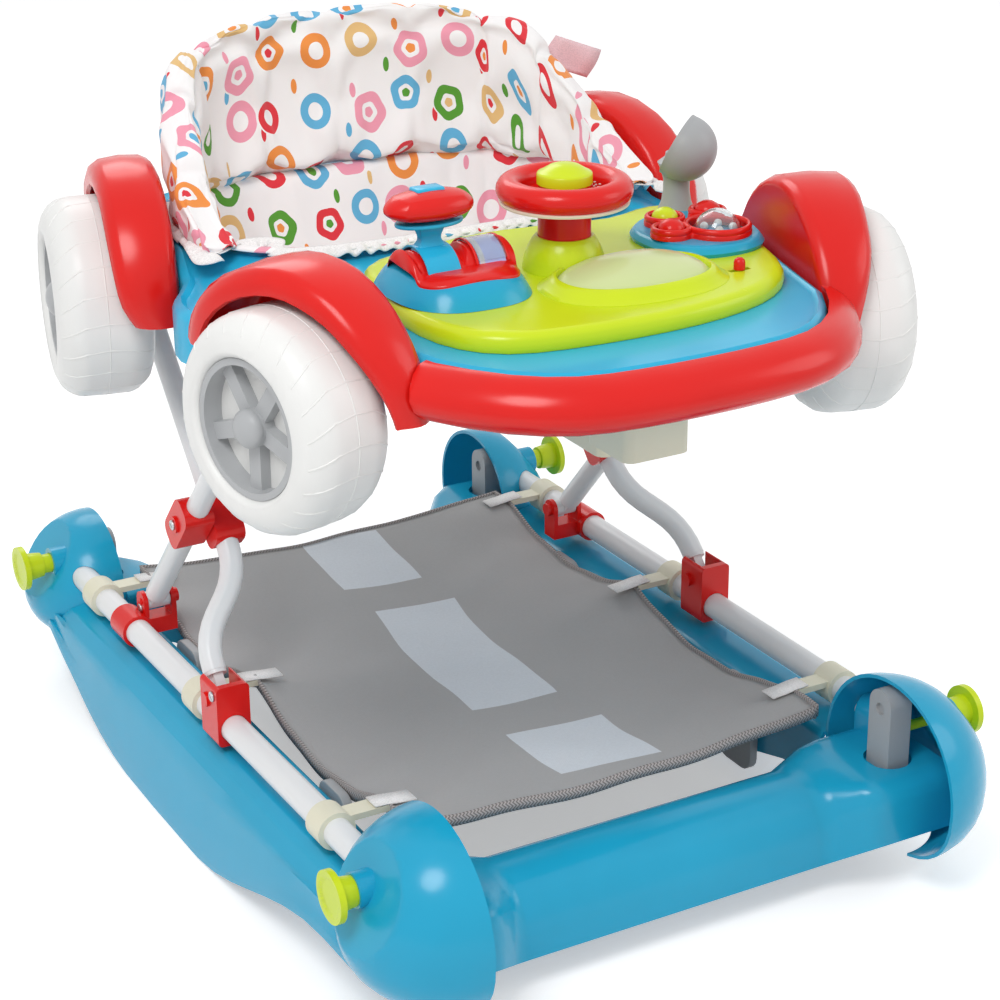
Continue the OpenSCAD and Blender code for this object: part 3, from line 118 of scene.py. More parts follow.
# Nylon from a spark-eroded mould: a fine grain that breaks up the highlight
cream_nylon = moulded("nylon_cream", "#E6E2CC", 0.42, 1.2 * MM, 0.05 * MM)
grey_nylon = moulded("nylon_grey", "#A9ABAD", 0.4, 1.2 * MM, 0.05 * MM)
rim_grey = moulded("polypropylene_silver_grey", "#B4B6B8", 0.35, 1.2 * MM, 0.04 * MM)
# Powder coat on steel tube: thick, white, with an orange peel that ripples the highlight
powder_white = moulded("powder_coat_white", "#E9EAEB", 0.3, 4 * MM, 0.006 * MM, 0.01)
# Soft rubber tread: dull, with a fine pebble
rubber_dark = moulded("thermoplastic_rubber_dark", "#43474A", 0.6, 1 * MM, 0.06 * MM)


def bright_metal(name, dark, light, roughness, blotch, wave=0.0):
    """A bright metal skin, faintly blotched, and wavy where it lies on a plastic sheet."""
    material, tree = material_of(name)
    place = add(tree, "TexCoord", output="Object")
    cloud = add(tree, "TexNoise", {"Vector": place, "Scale": 1 / blotch})
    shades = [(0.3, linear(dark)), (0.7, linear(light))]
    sockets = {"Base Color": add(tree, "ValToRGB", {"Fac": cloud}, stops=shades),
               "Metallic": 1.0, "Roughness": roughness}
    if wave:
        sockets["Normal"] = add(tree, "Bump", {"Height": cloud, "Distance": wave, "Strength": 0.4})
    return painted(material, sockets)


def clear_plastic(name, colour, roughness, through):
    """Polystyrene moulding that light passes: frosted where it is rough, crystal where it isn't."""
    material, tree = material_of(name)
    place = add(tree, "TexCoord", output="Object")
    haze = add(tree, "TexNoise", {"Vector": place, "Scale": 1 / (9 * MM), "Detail": 3.0})
    return painted(material, {
        "Roughness": add(tree, "MapRange", {"Value": haze, "To Min": roughness * 0.7,
                                            "To Max": roughness * 1.3}),
        "Base Color": linear(colour), "Transmission Weight": through, "IOR": 1.45})


# Zinc plating on the screws, and vacuum-metallised polystyrene in the mirror
zinc = bright_metal("zinc_plated_steel", "#A6A9AB", "#CFD2D4", 0.3, 2 * MM)
mirror_sheet = bright_metal("metallised_mirror_sheet", "#D9DDE0", "#E6E9EB", 0.08, 12 * MM, 0.03 * MM)
frosted_lens = clear_plastic("frosted_polystyrene", "#D9E6A6", 0.22, 0.12)
crystal = clear_plastic("crystal_polystyrene", "#F6FAFB", 0.04, 0.95)

PRINT_COLOURS = ["#E33A44", "#5A9E38", "#66B4DC", "#F2954A", "#E6BE80", "#F2A0B4"]


def picture_film():
    """Printed film round the drum: a pale sky with soft violet hills and a silver bar along it."""
    material, tree = material_of("printed_film")
    spot = add(tree, "SeparateXYZ", {"Vector": add(tree, "TexCoord", output="Object")}).node.outputs
    turn = add(tree, "Math", (spot["X"], 2 * math.pi / (9 * MM)), operation="MULTIPLY")
    wave = add(tree, "Math", (turn,), operation="SINE")
    hill = add(tree, "Math", (wave, 2 * MM, spot["Y"]), operation="MULTIPLY_ADD")
    edge = add(tree, "Math", (hill, POD_Y), operation="GREATER_THAN")
    away = add(tree, "Math", (spot["X"], DRUM_X - 8 * MM), operation="SUBTRACT")
    bar = add(tree, "Math", (add(tree, "Math", (away,), operation="ABSOLUTE"), 2 * MM), operation="LESS_THAN")
    colour = linear("#A9B6E8")
    for where, paint in ((edge, "#5B62B8"), (bar, "#C9CDD2")):
        colour = add(tree, "Mix", {0: where, 6: colour, 7: linear(paint)}, 2, data_type="RGBA")
    return painted(material, {"Base Color": colour, "Roughness": 0.3})


def weave(tree, flat, thread, depth):
    """A plain weave over and under, from two flat coordinates."""
    waves = []
    for axis in ("X", "Y"):
        turn = add(tree, "Math", (flat[axis], 2 * math.pi / thread), operation="MULTIPLY")
        waves.append(add(tree, "Math", (turn,), operation="SINE"))
    over = add(tree, "Math", waves, operation="MULTIPLY")
    return add(tree, "Bump", {"Height": over, "Distance": depth, "Strength": 0.5})


def printed_cotton():
    """White cotton, printed with rings and five-petalled flowers about 28 mm across."""
    material, tree = material_of("printed_cotton")
    spot = add(tree, "UVMap", output="UV")
    scaled = add(tree, "VectorMath", (spot, (1 / (44 * MM),) * 3), operation="MULTIPLY")
    shifted = add(tree, "VectorMath", (scaled, (0.45, 0.55, 0.0)), operation="ADD")
    cells, chance, away = [], [], []
    for where, loose in ((scaled, 0.36), (shifted, 0.5)):
        cell = add(tree, "TexVoronoi", {"Vector": where, "Scale": 1.0, "Randomness": loose},
                   voronoi_dimensions="2D").node.outputs
        cells.append(cell)
        chance.append(add(tree, "SeparateColor", {"Color": cell["Color"]}).node.outputs)
        away.append(add(tree, "VectorMath", (where, cell["Position"]), operation="SUBTRACT"))

    # Large motifs: a ring, or a flower with a dot in its middle
    offset = add(tree, "SeparateXYZ", {"Vector": away[0]}).node.outputs
    angle = add(tree, "Math", (offset["Y"], offset["X"]), operation="ARCTAN2")
    start = add(tree, "Math", (chance[0]["Green"], 6.0), operation="MULTIPLY")
    round_it = add(tree, "Math", (angle, 5.0, start), operation="MULTIPLY_ADD")
    lobes = add(tree, "Math", (round_it,), operation="COSINE")
    flower = add(tree, "Math", (chance[0]["Blue"], 0.62), operation="GREATER_THAN")
    shallow = add(tree, "Math", (lobes, 0.05), operation="MULTIPLY")
    swell = add(tree, "Math", (shallow, flower, 1.0), operation="MULTIPLY_ADD")
    radius = add(tree, "Math", (cells[0]["Distance"], swell), operation="DIVIDE")
    size = add(tree, "Math", (chance[0]["Red"], 0.07, 0.29), operation="MULTIPLY_ADD")
    inside = add(tree, "Math", (radius, size), operation="LESS_THAN")
    half = add(tree, "Math", (size, 0.5), operation="MULTIPLY")
    hollow = add(tree, "Math", (radius, half), operation="LESS_THAN")
    part = add(tree, "Math", (flower, 0.26), operation="MULTIPLY")
    middle = add(tree, "Math", (size, part), operation="MULTIPLY")
    dot = add(tree, "Math", (radius, middle), operation="LESS_THAN")

    # Small petals scattered between the large motifs
    leaf = add(tree, "Mapping", {"Vector": away[1], "Rotation": (0, 0, 0.7), "Scale": (2.1, 1.0, 1.0)})
    length = add(tree, "VectorMath", (leaf,), "Value", operation="LENGTH")
    short = add(tree, "Math", (length, 0.13), operation="LESS_THAN")
    margin = add(tree, "Math", (size, 0.03), operation="ADD")
    clear = add(tree, "Math", (radius, margin), operation="GREATER_THAN")
    some = add(tree, "Math", (chance[1]["Red"], 0.25), operation="GREATER_THAN")
    free = add(tree, "Math", (clear, some), operation="MULTIPLY")
    petal = add(tree, "Math", (short, free), operation="MULTIPLY")

    white = linear("#F8F6F6")
    stops = [(i / len(PRINT_COLOURS), linear(c)) for i, c in enumerate(PRINT_COLOURS)]
    paints = [add(tree, "ValToRGB", {"Fac": luck}, stops=stops)
              for luck in (chance[0]["Red"], chance[0]["Green"], chance[1]["Green"])]
    for paint in paints:
        paint.node.color_ramp.interpolation = "CONSTANT"
    colour = white
    for where, paint in ((inside, paints[0]), (hollow, white), (dot, paints[1]), (petal, paints[2])):
        colour = add(tree, "Mix", {0: where, 6: colour, 7: paint}, 2, data_type="RGBA")
    # The real thread is 0.4 mm, drawn at 1.2 mm so that it shows
    flat = add(tree, "SeparateXYZ", {"Vector": spot}).node.outputs
    return painted(material, {"Base Color": colour, "Normal": weave(tree, flat, 1.2 * MM, 0.08 * MM),
                              "Roughness": 0.85, "Sheen Weight": 0.2, "Specular IOR Level": 0.2})


def plain_cloth(name, colour, thread, depth, roughness):
    """Woven cloth of one colour, with threads that vary a little."""
    material, tree = material_of(name)
    place = add(tree, "TexCoord", output="Object")
    fibre = add(tree, "TexNoise", {"Vector": place, "Scale": 1 / thread, "Detail": 2.0})
    base = linear(colour)
    deeper = [c * 0.82 for c in base[:3]] + [1]
    return painted(material, {
        "Base Color": add(tree, "ValToRGB", {"Fac": fibre}, stops=[(0.3, deeper), (0.65, base)]),
        "Normal": add(tree, "Bump", {"Height": fibre, "Distance": depth, "Strength": 0.6}),
        "Roughness": roughness, "Specular IOR Level": 0.25})


# Pale blocks printed on the mat: centre x, centre y, half width, half length
MAT_BLOCKS = [(-0.002, 0.222, 0.037, 0.047), (0.010, 0.028, 0.038, 0.102), (0.021, -0.178, 0.042, 0.046)]


def woven_mat():
    """Grey woven polyester with a row of pale printed blocks. The 0.6 mm weave is drawn at 2 mm."""
    material, tree = material_of("woven_polyester_grey")
    place = add(tree, "TexCoord", output="Object")
    flat = add(tree, "SeparateXYZ", {"Vector": place}).node.outputs
    turn = add(tree, "Math", (flat["Y"], 30.0), operation="MULTIPLY")
    skewed = add(tree, "Math", (flat["Y"], -0.07, flat["X"]), operation="MULTIPLY_ADD")
    across = add(tree, "Math", (add(tree, "Math", (turn,), operation="SINE"), 3 * MM, skewed),
                 operation="MULTIPLY_ADD")
    slant = add(tree, "Math", (flat["X"], 0.12, flat["Y"]), operation="MULTIPLY_ADD")
    pale = 0.0
    for x, y, half_x, half_y in MAT_BLOCKS:
        inside = []
        for line, middle, half in ((across, x, half_x), (slant, y, half_y)):
            off = add(tree, "Math", (line, middle), operation="SUBTRACT")
            off = add(tree, "Math", (off,), operation="ABSOLUTE")
            inside.append(add(tree, "Math", (off, half), operation="LESS_THAN"))
        pale = add(tree, "Math", (pale, add(tree, "Math", inside, operation="MULTIPLY")), operation="MAXIMUM")
    fibre = add(tree, "TexNoise", {"Vector": place, "Scale": 1 / (2 * MM), "Detail": 2.0})
    worn = add(tree, "Math", (fibre, 0.16), operation="MULTIPLY")
    colour = linear("#AEADAD")
    for where, paint in ((pale, "#DADFE5"), (worn, "#6E7072")):
        colour = add(tree, "Mix", {0: where, 6: colour, 7: linear(paint)}, 2, data_type="RGBA")
    return painted(material, {"Base Color": colour, "Normal": weave(tree, flat, 2 * MM, 0.1 * MM),
                              "Roughness": 0.8, "Specular IOR Level": 0.25})


def herringbone_tape():
    """Woven binding tape in a herringbone of two greys, 12 mm wide. Its map runs along the tape."""
    material, tree = material_of("herringbone_tape")
    spot = add(tree, "SeparateXYZ", {"Vector": add(tree, "UVMap", output="UV")}).node.outputs
    fold = add(tree, "Math", (spot["Y"], 3 * MM), operation="PINGPONG")
    slant = add(tree, "Math", (spot["X"], fold), operation="ADD")
    turn = add(tree, "Math", (slant, 2 * math.pi / (3 * MM)), operation="MULTIPLY")
    wave = add(tree, "Math", (turn,), operation="SINE")
    light = add(tree, "Math", (wave, 0.5, 0.5), operation="MULTIPLY_ADD")
    greys = [(0.3, linear("#7F7A79")), (0.7, linear("#B9B3B1"))]
    return painted(material, {
        "Base Color": add(tree, "ValToRGB", {"Fac": light}, stops=greys),
        "Normal": add(tree, "Bump", {"Height": light, "Distance": 0.15 * MM, "Strength": 0.6}),
        "Roughness": 0.85, "Specular IOR Level": 0.2})


cotton = printed_cotton()
white_cotton = plain_cloth("white_cotton", "#F7F5F4", 1.2 * MM, 0.08 * MM, 0.85)
mat_weave = woven_mat()
tape = herringbone_tape()
label_tape = plain_cloth("satin_label_tape", "#F6D3D8", 1.0 * MM, 0.05 * MM, 0.6)
film = picture_film()

# ---------------------------------------------------------------- camera, light and floor

camera_data = bpy.data.cameras.new("camera")
camera_data.sensor_width = 36
camera_data.lens = 86.83
camera = bpy.data.objects.new("camera", camera_data)
camera.location = (-0.864996, -1.602383, 0.992613)
camera.rotation_euler = [math.radians(a) for a in (67.5189, 0.3421, -29.4975)]
bpy.context.scene.collection.objects.link(camera)
bpy.context.scene.camera = camera


def lamp(name, place, target, size, power):
    data = bpy.data.lights.new(name, "AREA")
    data.shape = "DISK"
    data.size = size
    data.energy = power
    made = bpy.data.objects.new(name, data)
    made.location = place
    made.rotation_euler = (Vector(target) - Vector(place)).to_track_quat("-Z", "Y").to_euler()
    bpy.context.scene.collection.objects.link(made)


lamp("key", (-1.1, -1.0, 2.0), (0, 0, 0.3), 0.9, 20)
lamp("fill", (1.8, -1.2, 1.3), (0, 0, 0.3), 1.2, 7)
lamp("back", (0.3, 1.9, 1.9), (0, 0, 0.4), 1.2, 10)


def backdrop_rays(tree):
    """1 for the rays that show the backdrop: from the camera, from a gloss and through clear plastic."""
    path = add(tree, "LightPath").node.outputs
    behind = add(tree, "Math", (path["Is Glossy Ray"], path["Is Transmission Ray"]), operation="MAXIMUM")
    return add(tree, "Math", (path["Is Camera Ray"], behind), operation="MAXIMUM")


world = bpy.data.worlds.new("studio")
world.use_nodes = True
bpy.context.scene.world = world
sky = world.node_tree
sky.nodes.clear()
plain = add(sky, "Background", {"Color": (0.62, 0.62, 0.62, 1)})
shown = add(sky, "Background", {"Color": (1, 1, 1, 1)})
add(sky, "OutputWorld", {"Surface": add(sky, "MixShader", (backdrop_rays(sky), plain, shown))})
bpy.context.scene.view_settings.view_transform = "Standard"

# ---------------------------------------------------------------- shaping and dressing a piece


def alone(obj):
    """Makes a piece the active one and the only one selected."""
    bpy.ops.object.select_all(action="DESELECT")
    bpy.context.view_layer.objects.active = obj
    obj.select_set(True)


def in_edit(obj, action="DESELECT", mode="FACE"):
    """Opens a piece alone in edit mode, with nothing or with all of it selected."""
    alone(obj)
    bpy.ops.object.mode_set(mode="EDIT")
    bpy.ops.mesh.select_mode(type=mode)
    bpy.ops.mesh.select_all(action=action)


def out_of_edit():
    bpy.ops.object.mode_set(mode="OBJECT")


def pick(obj, test):
    """Selects the faces whose middle and normal pass the test, and leaves the piece in edit mode."""
    in_edit(obj)
    out_of_edit()
    for face in obj.data.polygons:
        face.select = bool(test(face.center, face.normal))
    bpy.ops.object.mode_set(mode="EDIT")


def drop(obj, test):
    """Deletes the faces that pass the test."""
    pick(obj, test)
    bpy.ops.mesh.delete(type="FACE")
    out_of_edit()


def stretch(obj, test, value, centre):
    """Scales the faces that pass the test about a centre."""
    pick(obj, test)
    bpy.ops.transform.resize(value=value, center_override=centre)
    out_of_edit()


def face_out(obj):
    """Turns every face of a closed piece outwards."""
    in_edit(obj, "SELECT")
    bpy.ops.mesh.normals_make_consistent(inside=False)
    out_of_edit()


def settle(obj):
    """Puts a piece's place, turn and size into its mesh."""
    alone(obj)
    bpy.ops.object.transform_apply(location=True, rotation=True, scale=True)


def modify(obj, kind, **settings):
    alone(obj)
    made = obj.modifiers.new(kind.lower(), kind)
    for key, value in settings.items():
        setattr(made, key, value)
    bpy.ops.object.modifier_apply(modifier=made.name)


def rounded(obj, width, segments=3, angle=35):
    modify(obj, "BEVEL", width=width, segments=segments, limit_method="ANGLE",
           angle_limit=math.radians(angle))


def cut_out(obj, cutter):
    modify(obj, "BOOLEAN", object=cutter, operation="DIFFERENCE", solver="EXACT")
    bpy.data.objects.remove(cutter)


def dress(obj, name, material, body, angle=40):
    """Names a finished piece, shades it, paints it and hangs it on its body."""
    settle(obj)
    bpy.ops.object.shade_smooth_by_angle(angle=math.radians(angle))
    obj.name = obj.data.name = name
    obj.data.materials.clear()
    obj.data.materials.append(material)
    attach(obj, body)
    return obj


def cylinder(radius, depth, place, vertices=48, rotation=(0, 0, 0)):
    bpy.ops.object.select_all(action="DESELECT")
    bpy.ops.mesh.primitive_cylinder_add(vertices=vertices, radius=radius, depth=depth, location=place,
                                        rotation=rotation)
    settle(bpy.context.object)
    return bpy.context.object


def block(size, place, rotation=(0, 0, 0)):
    bpy.ops.object.select_all(action="DESELECT")
    bpy.ops.mesh.primitive_cube_add(size=1, location=place, rotation=rotation, scale=size)
    settle(bpy.context.object)
    return bpy.context.object


# ---------------------------------------------------------------- floor

bpy.ops.object.select_all(action="DESELECT")
bpy.ops.mesh.primitive_plane_add(size=14, location=(0, 0, -0.0005))
floor = bpy.context.object
in_edit(floor, "SELECT")
bpy.ops.mesh.subdivide(number_cuts=3)
out_of_edit()
floor.name = "floor"
# Matt white paper with a faint tooth. It also glows a little towards the camera, so that it stays white.
paper, tree = material_of("seamless_white_paper")
tooth = add(tree, "TexNoise", {"Vector": add(tree, "TexCoord", output="Object"), "Scale": 1 / (2.5 * MM)})
floor.data.materials.append(painted(paper, {
    "Base Color": (0.9, 0.9, 0.9, 1), "Roughness": 0.9, "Specular IOR Level": 0.1,
    "Normal": add(tree, "Bump", {"Height": tooth, "Distance": 0.1 * MM, "Strength": 0.1}),
    "Emission Color": (1, 1, 1, 1),
    "Emission Strength": add(tree, "Math", (backdrop_rays(tree), 0.42), operation="MULTIPLY")}))

# ---------------------------------------------------------------- CAD nodes

CORNERS = ("fl", "fr", "rl", "rr")
FINISHES = {
    blue_pp: ["front_beam", "rear_beam", "rocker_left", "rocker_right", "front_domes", "rear_domes",
              "cluster_panel"],
    tray_pp: ["tray_shell"],
    powder_white: ["rail_tubes", "rear_leg_frame", "front_leg_frame"],
    cream_nylon: ["mat_clips", "height_adjuster"],
    red_pp: ["rear_clamps", "crossing_outer", "crossing_inner", "slider_blocks", "bumper", "front_fenders",
             "rear_fenders", "steering_column", "steering_wheel", "cluster_button_back",
             "cluster_button_front"],
    lime_pp: ["console", "horn_button", "cluster_button_lime"] + ["castor_knob_" + c for c in CORNERS],
    grey_nylon: ["rocker_pads", "mirror"] + ["castor_leg_" + c for c in CORNERS]
                + ["castor_fork_" + c for c in CORNERS],
    rubber_dark: ["castor_wheel_" + c for c in CORNERS],
    frosted_lens: ["music_lens"],
    crystal: ["rattle_dome"],
}
BEVELS = {"rear_clamps": 2 * MM, "crossing_outer": 4 * MM, "crossing_inner": 4 * MM, "slider_blocks": 3 * MM,
          "height_adjuster": 1 * MM, "rocker_pads": 1 * MM}
BODY_OF = {n: body for body, members in frame["record"]["behaviour"]["bodies"].items() for n in members}


def refilled(made, level):
    """Flat faces at one height drawn again from their outlines: the mesher folds long ones."""
    drop(made, lambda c, n: abs(c.z - level) < 1e-5 and abs(n.z) > 0.9)
    in_edit(made, mode="EDGE")
    bpy.ops.mesh.select_non_manifold(extend=False, use_wire=True, use_boundary=True, use_multi_face=False,
                                     use_non_contiguous=False, use_verts=False)
    bpy.ops.mesh.fill(use_beauty=True)
    out_of_edit()
    face_out(made)


def moulding(node, material, bevel=0.0, angle=48):
    """A smooth copy of a CAD node: loose triangles are merged, and the shading rounds the shallow edges."""
    source = frame["nodes"][node]
    made = source.copy()
    made.data = source.data.copy()
    made.parent = None
    for key in list(made.keys()):
        del made[key]
    bpy.context.scene.collection.objects.link(made)
    in_edit(made, "SELECT")
    bpy.ops.mesh.customdata_custom_splitnormals_clear()
    bpy.ops.mesh.remove_doubles(threshold=1e-5)
    if node != "console":
        bpy.ops.mesh.dissolve_limited(angle_limit=math.radians(0.6))
    out_of_edit()
    if node == "console":
        for level in (CONSOLE_TOP, CONSOLE_BOTTOM):
            refilled(made, level)
    if bevel:
        rounded(made, bevel, 2, 40)
    dress(made, node + "_moulding", material, BODY_OF[node], angle)
    modify(made, "WEIGHTED_NORMAL", keep_sharp=True, weight=80)
    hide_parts(node)
    return made


for finish, names in FINISHES.items():
    for name in names:
        moulding(name, finish, BEVELS.get(name, 0.0))
drum = frame["nodes"]["picture_drum"]
drum.data.materials.clear()
drum.data.materials.append(film)

# Toy wheels: side of the car and toe of each, the rim's radius and how far out its floor lies
TOES = {"fl": (-1, -15), "fr": (1, -15), "rl": (-1, 13), "rr": (1, 13)}
RIM_R, RIM_FLOOR = 0.050, 0.018


def wheel_place(corner):
    """A toy wheel's middle, its axle outwards, and the turn that lays an upright form along the axle."""
    side, toe = TOES[corner]
    low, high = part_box("toy_wheel_" + corner)
    axle = Vector((side * math.cos(math.radians(toe)), math.sin(math.radians(toe)), 0)).normalized()
    return (low + high) / 2, axle, Vector((0, 0, 1)).rotation_difference(axle).to_matrix().to_4x4()


def toy_wheel(corner):
    """A blow-moulded tyre with a grey rim: the faces take their finish by how far they are from the axle."""
    made = moulding("toy_wheel_" + corner, white_pp)
    made.data.materials.append(rim_grey)
    middle, axle, turn = wheel_place(corner)
    for face in made.data.polygons:
        arm = face.center - middle
        out = arm.dot(axle)
        reach = (arm - axle * out).length
        spoke = out > RIM_FLOOR + 0.3 * MM
        lip = out > 0 and reach > RIM_R - 1 * MM
        if reach < RIM_R + 0.4 * MM and (spoke or lip):
            face.material_index = 1
    # Hub cap: a low dome
    bpy.ops.object.select_all(action="DESELECT")
    bpy.ops.mesh.primitive_uv_sphere_add(segments=48, ring_count=24, radius=1, scale=(0.0140, 0.0140, 0.0085))
    hub = bpy.context.object
    settle(hub)
    hub.matrix_world = Matrix.Translation(middle + axle * (RIM_FLOOR + 0.0125)) @ turn
    dress(hub, "hub_cap_" + corner, rim_grey, "toy_wheel_" + corner, 80)


for corner in CORNERS:
    toy_wheel(corner)

# ---------------------------------------------------------------- pieces from points, and cloth


def mesh_piece(name, points, faces, maps=None):
    """A piece from its points and faces, with one map value per point where it has a pattern."""
    mesh = bpy.data.meshes.new(name)
    mesh.from_pydata(points, [], faces)
    mesh.validate()
    if maps:
        layer = mesh.uv_layers.new(name="UVMap")
        for loop in mesh.loops:
            layer.data[loop.index].uv = maps[loop.vertex_index]
    made = bpy.data.objects.new(name, mesh)
    bpy.context.scene.collection.objects.link(made)
    return made


def quads(lines, count, closed=True, flipped=False, first=0):
    """Faces between neighbouring lines of points that were listed one after the other from the first."""
    faces = []
    for i in range(lines - 1):
        for j in range(count if closed else count - 1):
            a, b = first + i * count + j, first + i * count + (j + 1) % count
            faces.append((a, a + count, b + count, b) if flipped else (a, b, b + count, a + count))
    return faces


def between(a, b, c, d, t):
    """Point between b and c on the smooth curve through four keys."""
    return 0.5 * (2 * b + (c - a) * t + (2 * a - 5 * b + 4 * c - d) * t ** 2
                  + (3 * b - a - 3 * c + d) * t ** 3)


def curve_through(keys, count, closed=False):
    """Evenly spaced points, by length, on a smooth curve through the keys."""
    keys = [Vector(k) for k in keys]
    n = len(keys)
    fine = []
    for i in range(n if closed else n - 1):
        if closed:
            near = [keys[(i + j) % n] for j in (-1, 0, 1, 2)]
        else:
            near = [keys[max(i - 1, 0)], keys[i], keys[i + 1], keys[min(i + 2, n - 1)]]
        fine += [between(*near, s / 16) for s in range(16)]
    fine.append(keys[0] if closed else keys[-1])
    reach = [0.0]
    for a, b in zip(fine, fine[1:]):
        reach.append(reach[-1] + (b - a).length)
    out, j = [], 0
    steps = count if closed else count - 1
    for i in range(count):
        want = reach[-1] * i / steps
        while j < len(fine) - 2 and reach[j + 1] < want:
            j += 1
        t = (want - reach[j]) / max(reach[j + 1] - reach[j], 1e-9)
        out.append(fine[j].lerp(fine[j + 1], min(t, 1.0)))
    return out, reach[-1]


CLOTH_FRAMES, STIFFNESS = 20, 12.0


def puffed(obj, pins, pressure, slack, cap, gravity=0.0):
    """Fills a closed form, or lets a sheet hang, and holds the pinned points. No point goes past the cap."""
    rest = [v.co.copy() for v in obj.data.vertices]
    group = obj.vertex_groups.new(name="held")
    for index, weight in pins.items():
        group.add([index], weight, "REPLACE")
    made = obj.modifiers.new("cloth", "CLOTH")
    cloth = made.settings
    cloth.quality = 5
    cloth.mass = 0.3
    cloth.tension_stiffness = cloth.compression_stiffness = STIFFNESS
    cloth.shear_stiffness = STIFFNESS / 2
    cloth.bending_stiffness = 0.2
    cloth.use_pressure = pressure > 0
    cloth.uniform_pressure_force = pressure
    cloth.shrink_min = -slack
    cloth.effector_weights.gravity = gravity
    cloth.vertex_group_mass = "held"
    made.collision_settings.use_collision = False
    scene = bpy.context.scene
    for step in range(1, CLOTH_FRAMES + 1):
        scene.frame_set(step)
    alone(obj)
    bpy.ops.object.modifier_apply(modifier=made.name)
    scene.frame_set(1)
    for vertex, start in zip(obj.data.vertices, rest):
        moved = vertex.co - start
        if moved.length > cap:
            vertex.co = start + moved * (cap / moved.length)
    obj.vertex_groups.clear()


def cloth_piece(obj, material, body):
    obj.data.materials.append(material)
    for face in obj.data.polygons:
        face.use_smooth = True
    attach(obj, body)


# ---------------------------------------------------------------- padded seat back

# Top edge of the cover: x, y and height, from the left wing's front to the middle of the back
SEAT_KEYS = [(-201, 30, 478), (-200, 66, 499), (-196, 94, 526), (-189, 123, 549), (-178, 155, 572),
             (-163, 185, 588), (-138, 212, 596), (-76, 234, 600), (0, 241, 600)]
SEAT_BASE = 0.4706
PAD = 0.022
# Panels between the sewn channels, and the columns of points in each
PANELS, COLUMNS = 10, 12
# Section of the cover, as parts of the pad's thickness (out) and of its height (up), from the outer hem round
SECTION = [(-0.45, 0.0), (-0.02, 0.03), (0.02, 0.25), (0.04, 0.5), (0.03, 0.75), (-0.02, 0.91),
           (-0.2, 0.985), (-0.5, 1.01), (-0.8, 0.985), (-1.02, 0.91), (-1.14, 0.75), (-1.24, 0.5),
           (-1.34, 0.27), (-1.30, 0.12), (-1.05, 0.075), (-0.85, 0.04)]


def padded_back():
    keys = [Vector(k) * MM for k in SEAT_KEYS]
    keys += [Vector((-k.x, k.y, k.z)) for k in reversed(keys[:-1])]
    columns = PANELS * COLUMNS + 1
    rows = 44
    line, length = curve_through(keys, columns)
    ring, _ = curve_through([(a, b, 0) for a, b in SECTION], rows, closed=True)
    points, maps, pins = [], [], {}
    for i, p in enumerate(line):
        ahead, behind = line[min(i + 1, columns - 1)], line[max(i - 1, 0)]
        along = Vector((ahead.x - behind.x, ahead.y - behind.y, 0)).normalized()
        out = Vector((-along.y, along.x, 0))
        height = max(p.z - SEAT_BASE, 0.006)
        lean = 0.04 * height
        girth = 0.0
        # 1 on a sewn channel and 0 in the middle of a panel
        near_seam = abs((i / COLUMNS) % 1 - 0.5) * 2
        for j, q in enumerate(ring):
            pinch = 0.0
            if 0.08 < q.y < 0.86:
                pinch = (5.0 * near_seam ** 5 - 1.6) * MM
            side = -1 if q.x > -0.5 else 1
            spot = Vector((p.x, p.y, SEAT_BASE + q.y * height))
            spot += out * (q.x * PAD + lean * (min(q.y, 1) - 1) + side * pinch)
            if q.y < 0.14 and q.x < -0.5:
                spot.z += (4.0 - 7.0 * (1 - near_seam ** 2)) * MM
            if q.y > 0.9:
                spot.z += (1.6 - 4.0 * near_seam ** 4) * MM
            if j:
                girth += (Vector((q.x * PAD, q.y * height)) - last).length
            last = Vector((q.x * PAD, q.y * height))
            points.append(spot)
            maps.append((length * i / (columns - 1), girth))
            if i % COLUMNS == 0 and 0.05 < q.y < 0.72 or q.y < 0.05:
                pins[len(points) - 1] = 1.0
    faces = quads(columns, rows, flipped=True)
    # Rounded ends: two smaller rings and a middle point on each
    for end, step in ((0, -1), (columns - 1, 1)):
        base = [points[end * rows + j] for j in range(rows)]
        middle = sum(base, Vector()) / rows
        push = (line[end] - line[end - step]).normalized()
        push.z = 0
        before = [end * rows + j for j in range(rows)]
        for shrink, reach in ((0.8, 5 * MM), (0.45, 8 * MM)):
            new = []
            for j, point in enumerate(base):
                points.append(middle + (point - middle) * shrink + push * reach)
                maps.append((maps[end * rows + j][0] + step * reach, maps[end * rows + j][1]))
                new.append(len(points) - 1)
            for j in range(rows):
                k = (j + 1) % rows
                quad = (before[j], before[k], new[k], new[j])
                faces.append(quad if step < 0 else quad[::-1])
            before = new
        points.append(middle + push * 9 * MM)
        maps.append((maps[end * rows][0] + step * 10 * MM, 0.05))
        tip = len(points) - 1
        for j in range(rows):
            three = (before[j], before[(j + 1) % rows], tip)
            faces.append(three if step < 0 else three[::-1])
    made = mesh_piece("seat_back_cover", points, faces, maps)
    puffed(made, pins, 5.0, 0.09, 12 * MM)
    modify(made, "SUBSURF", levels=1, render_levels=1)
    cloth_piece(made, cotton, "car")
    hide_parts("seat_back")


padded_back()

# ---------------------------------------------------------------- seat bag

SEAT_X, SEAT_MID, SEAT_HALF = 0.178, 0.102, 0.110
LIP = 0.466
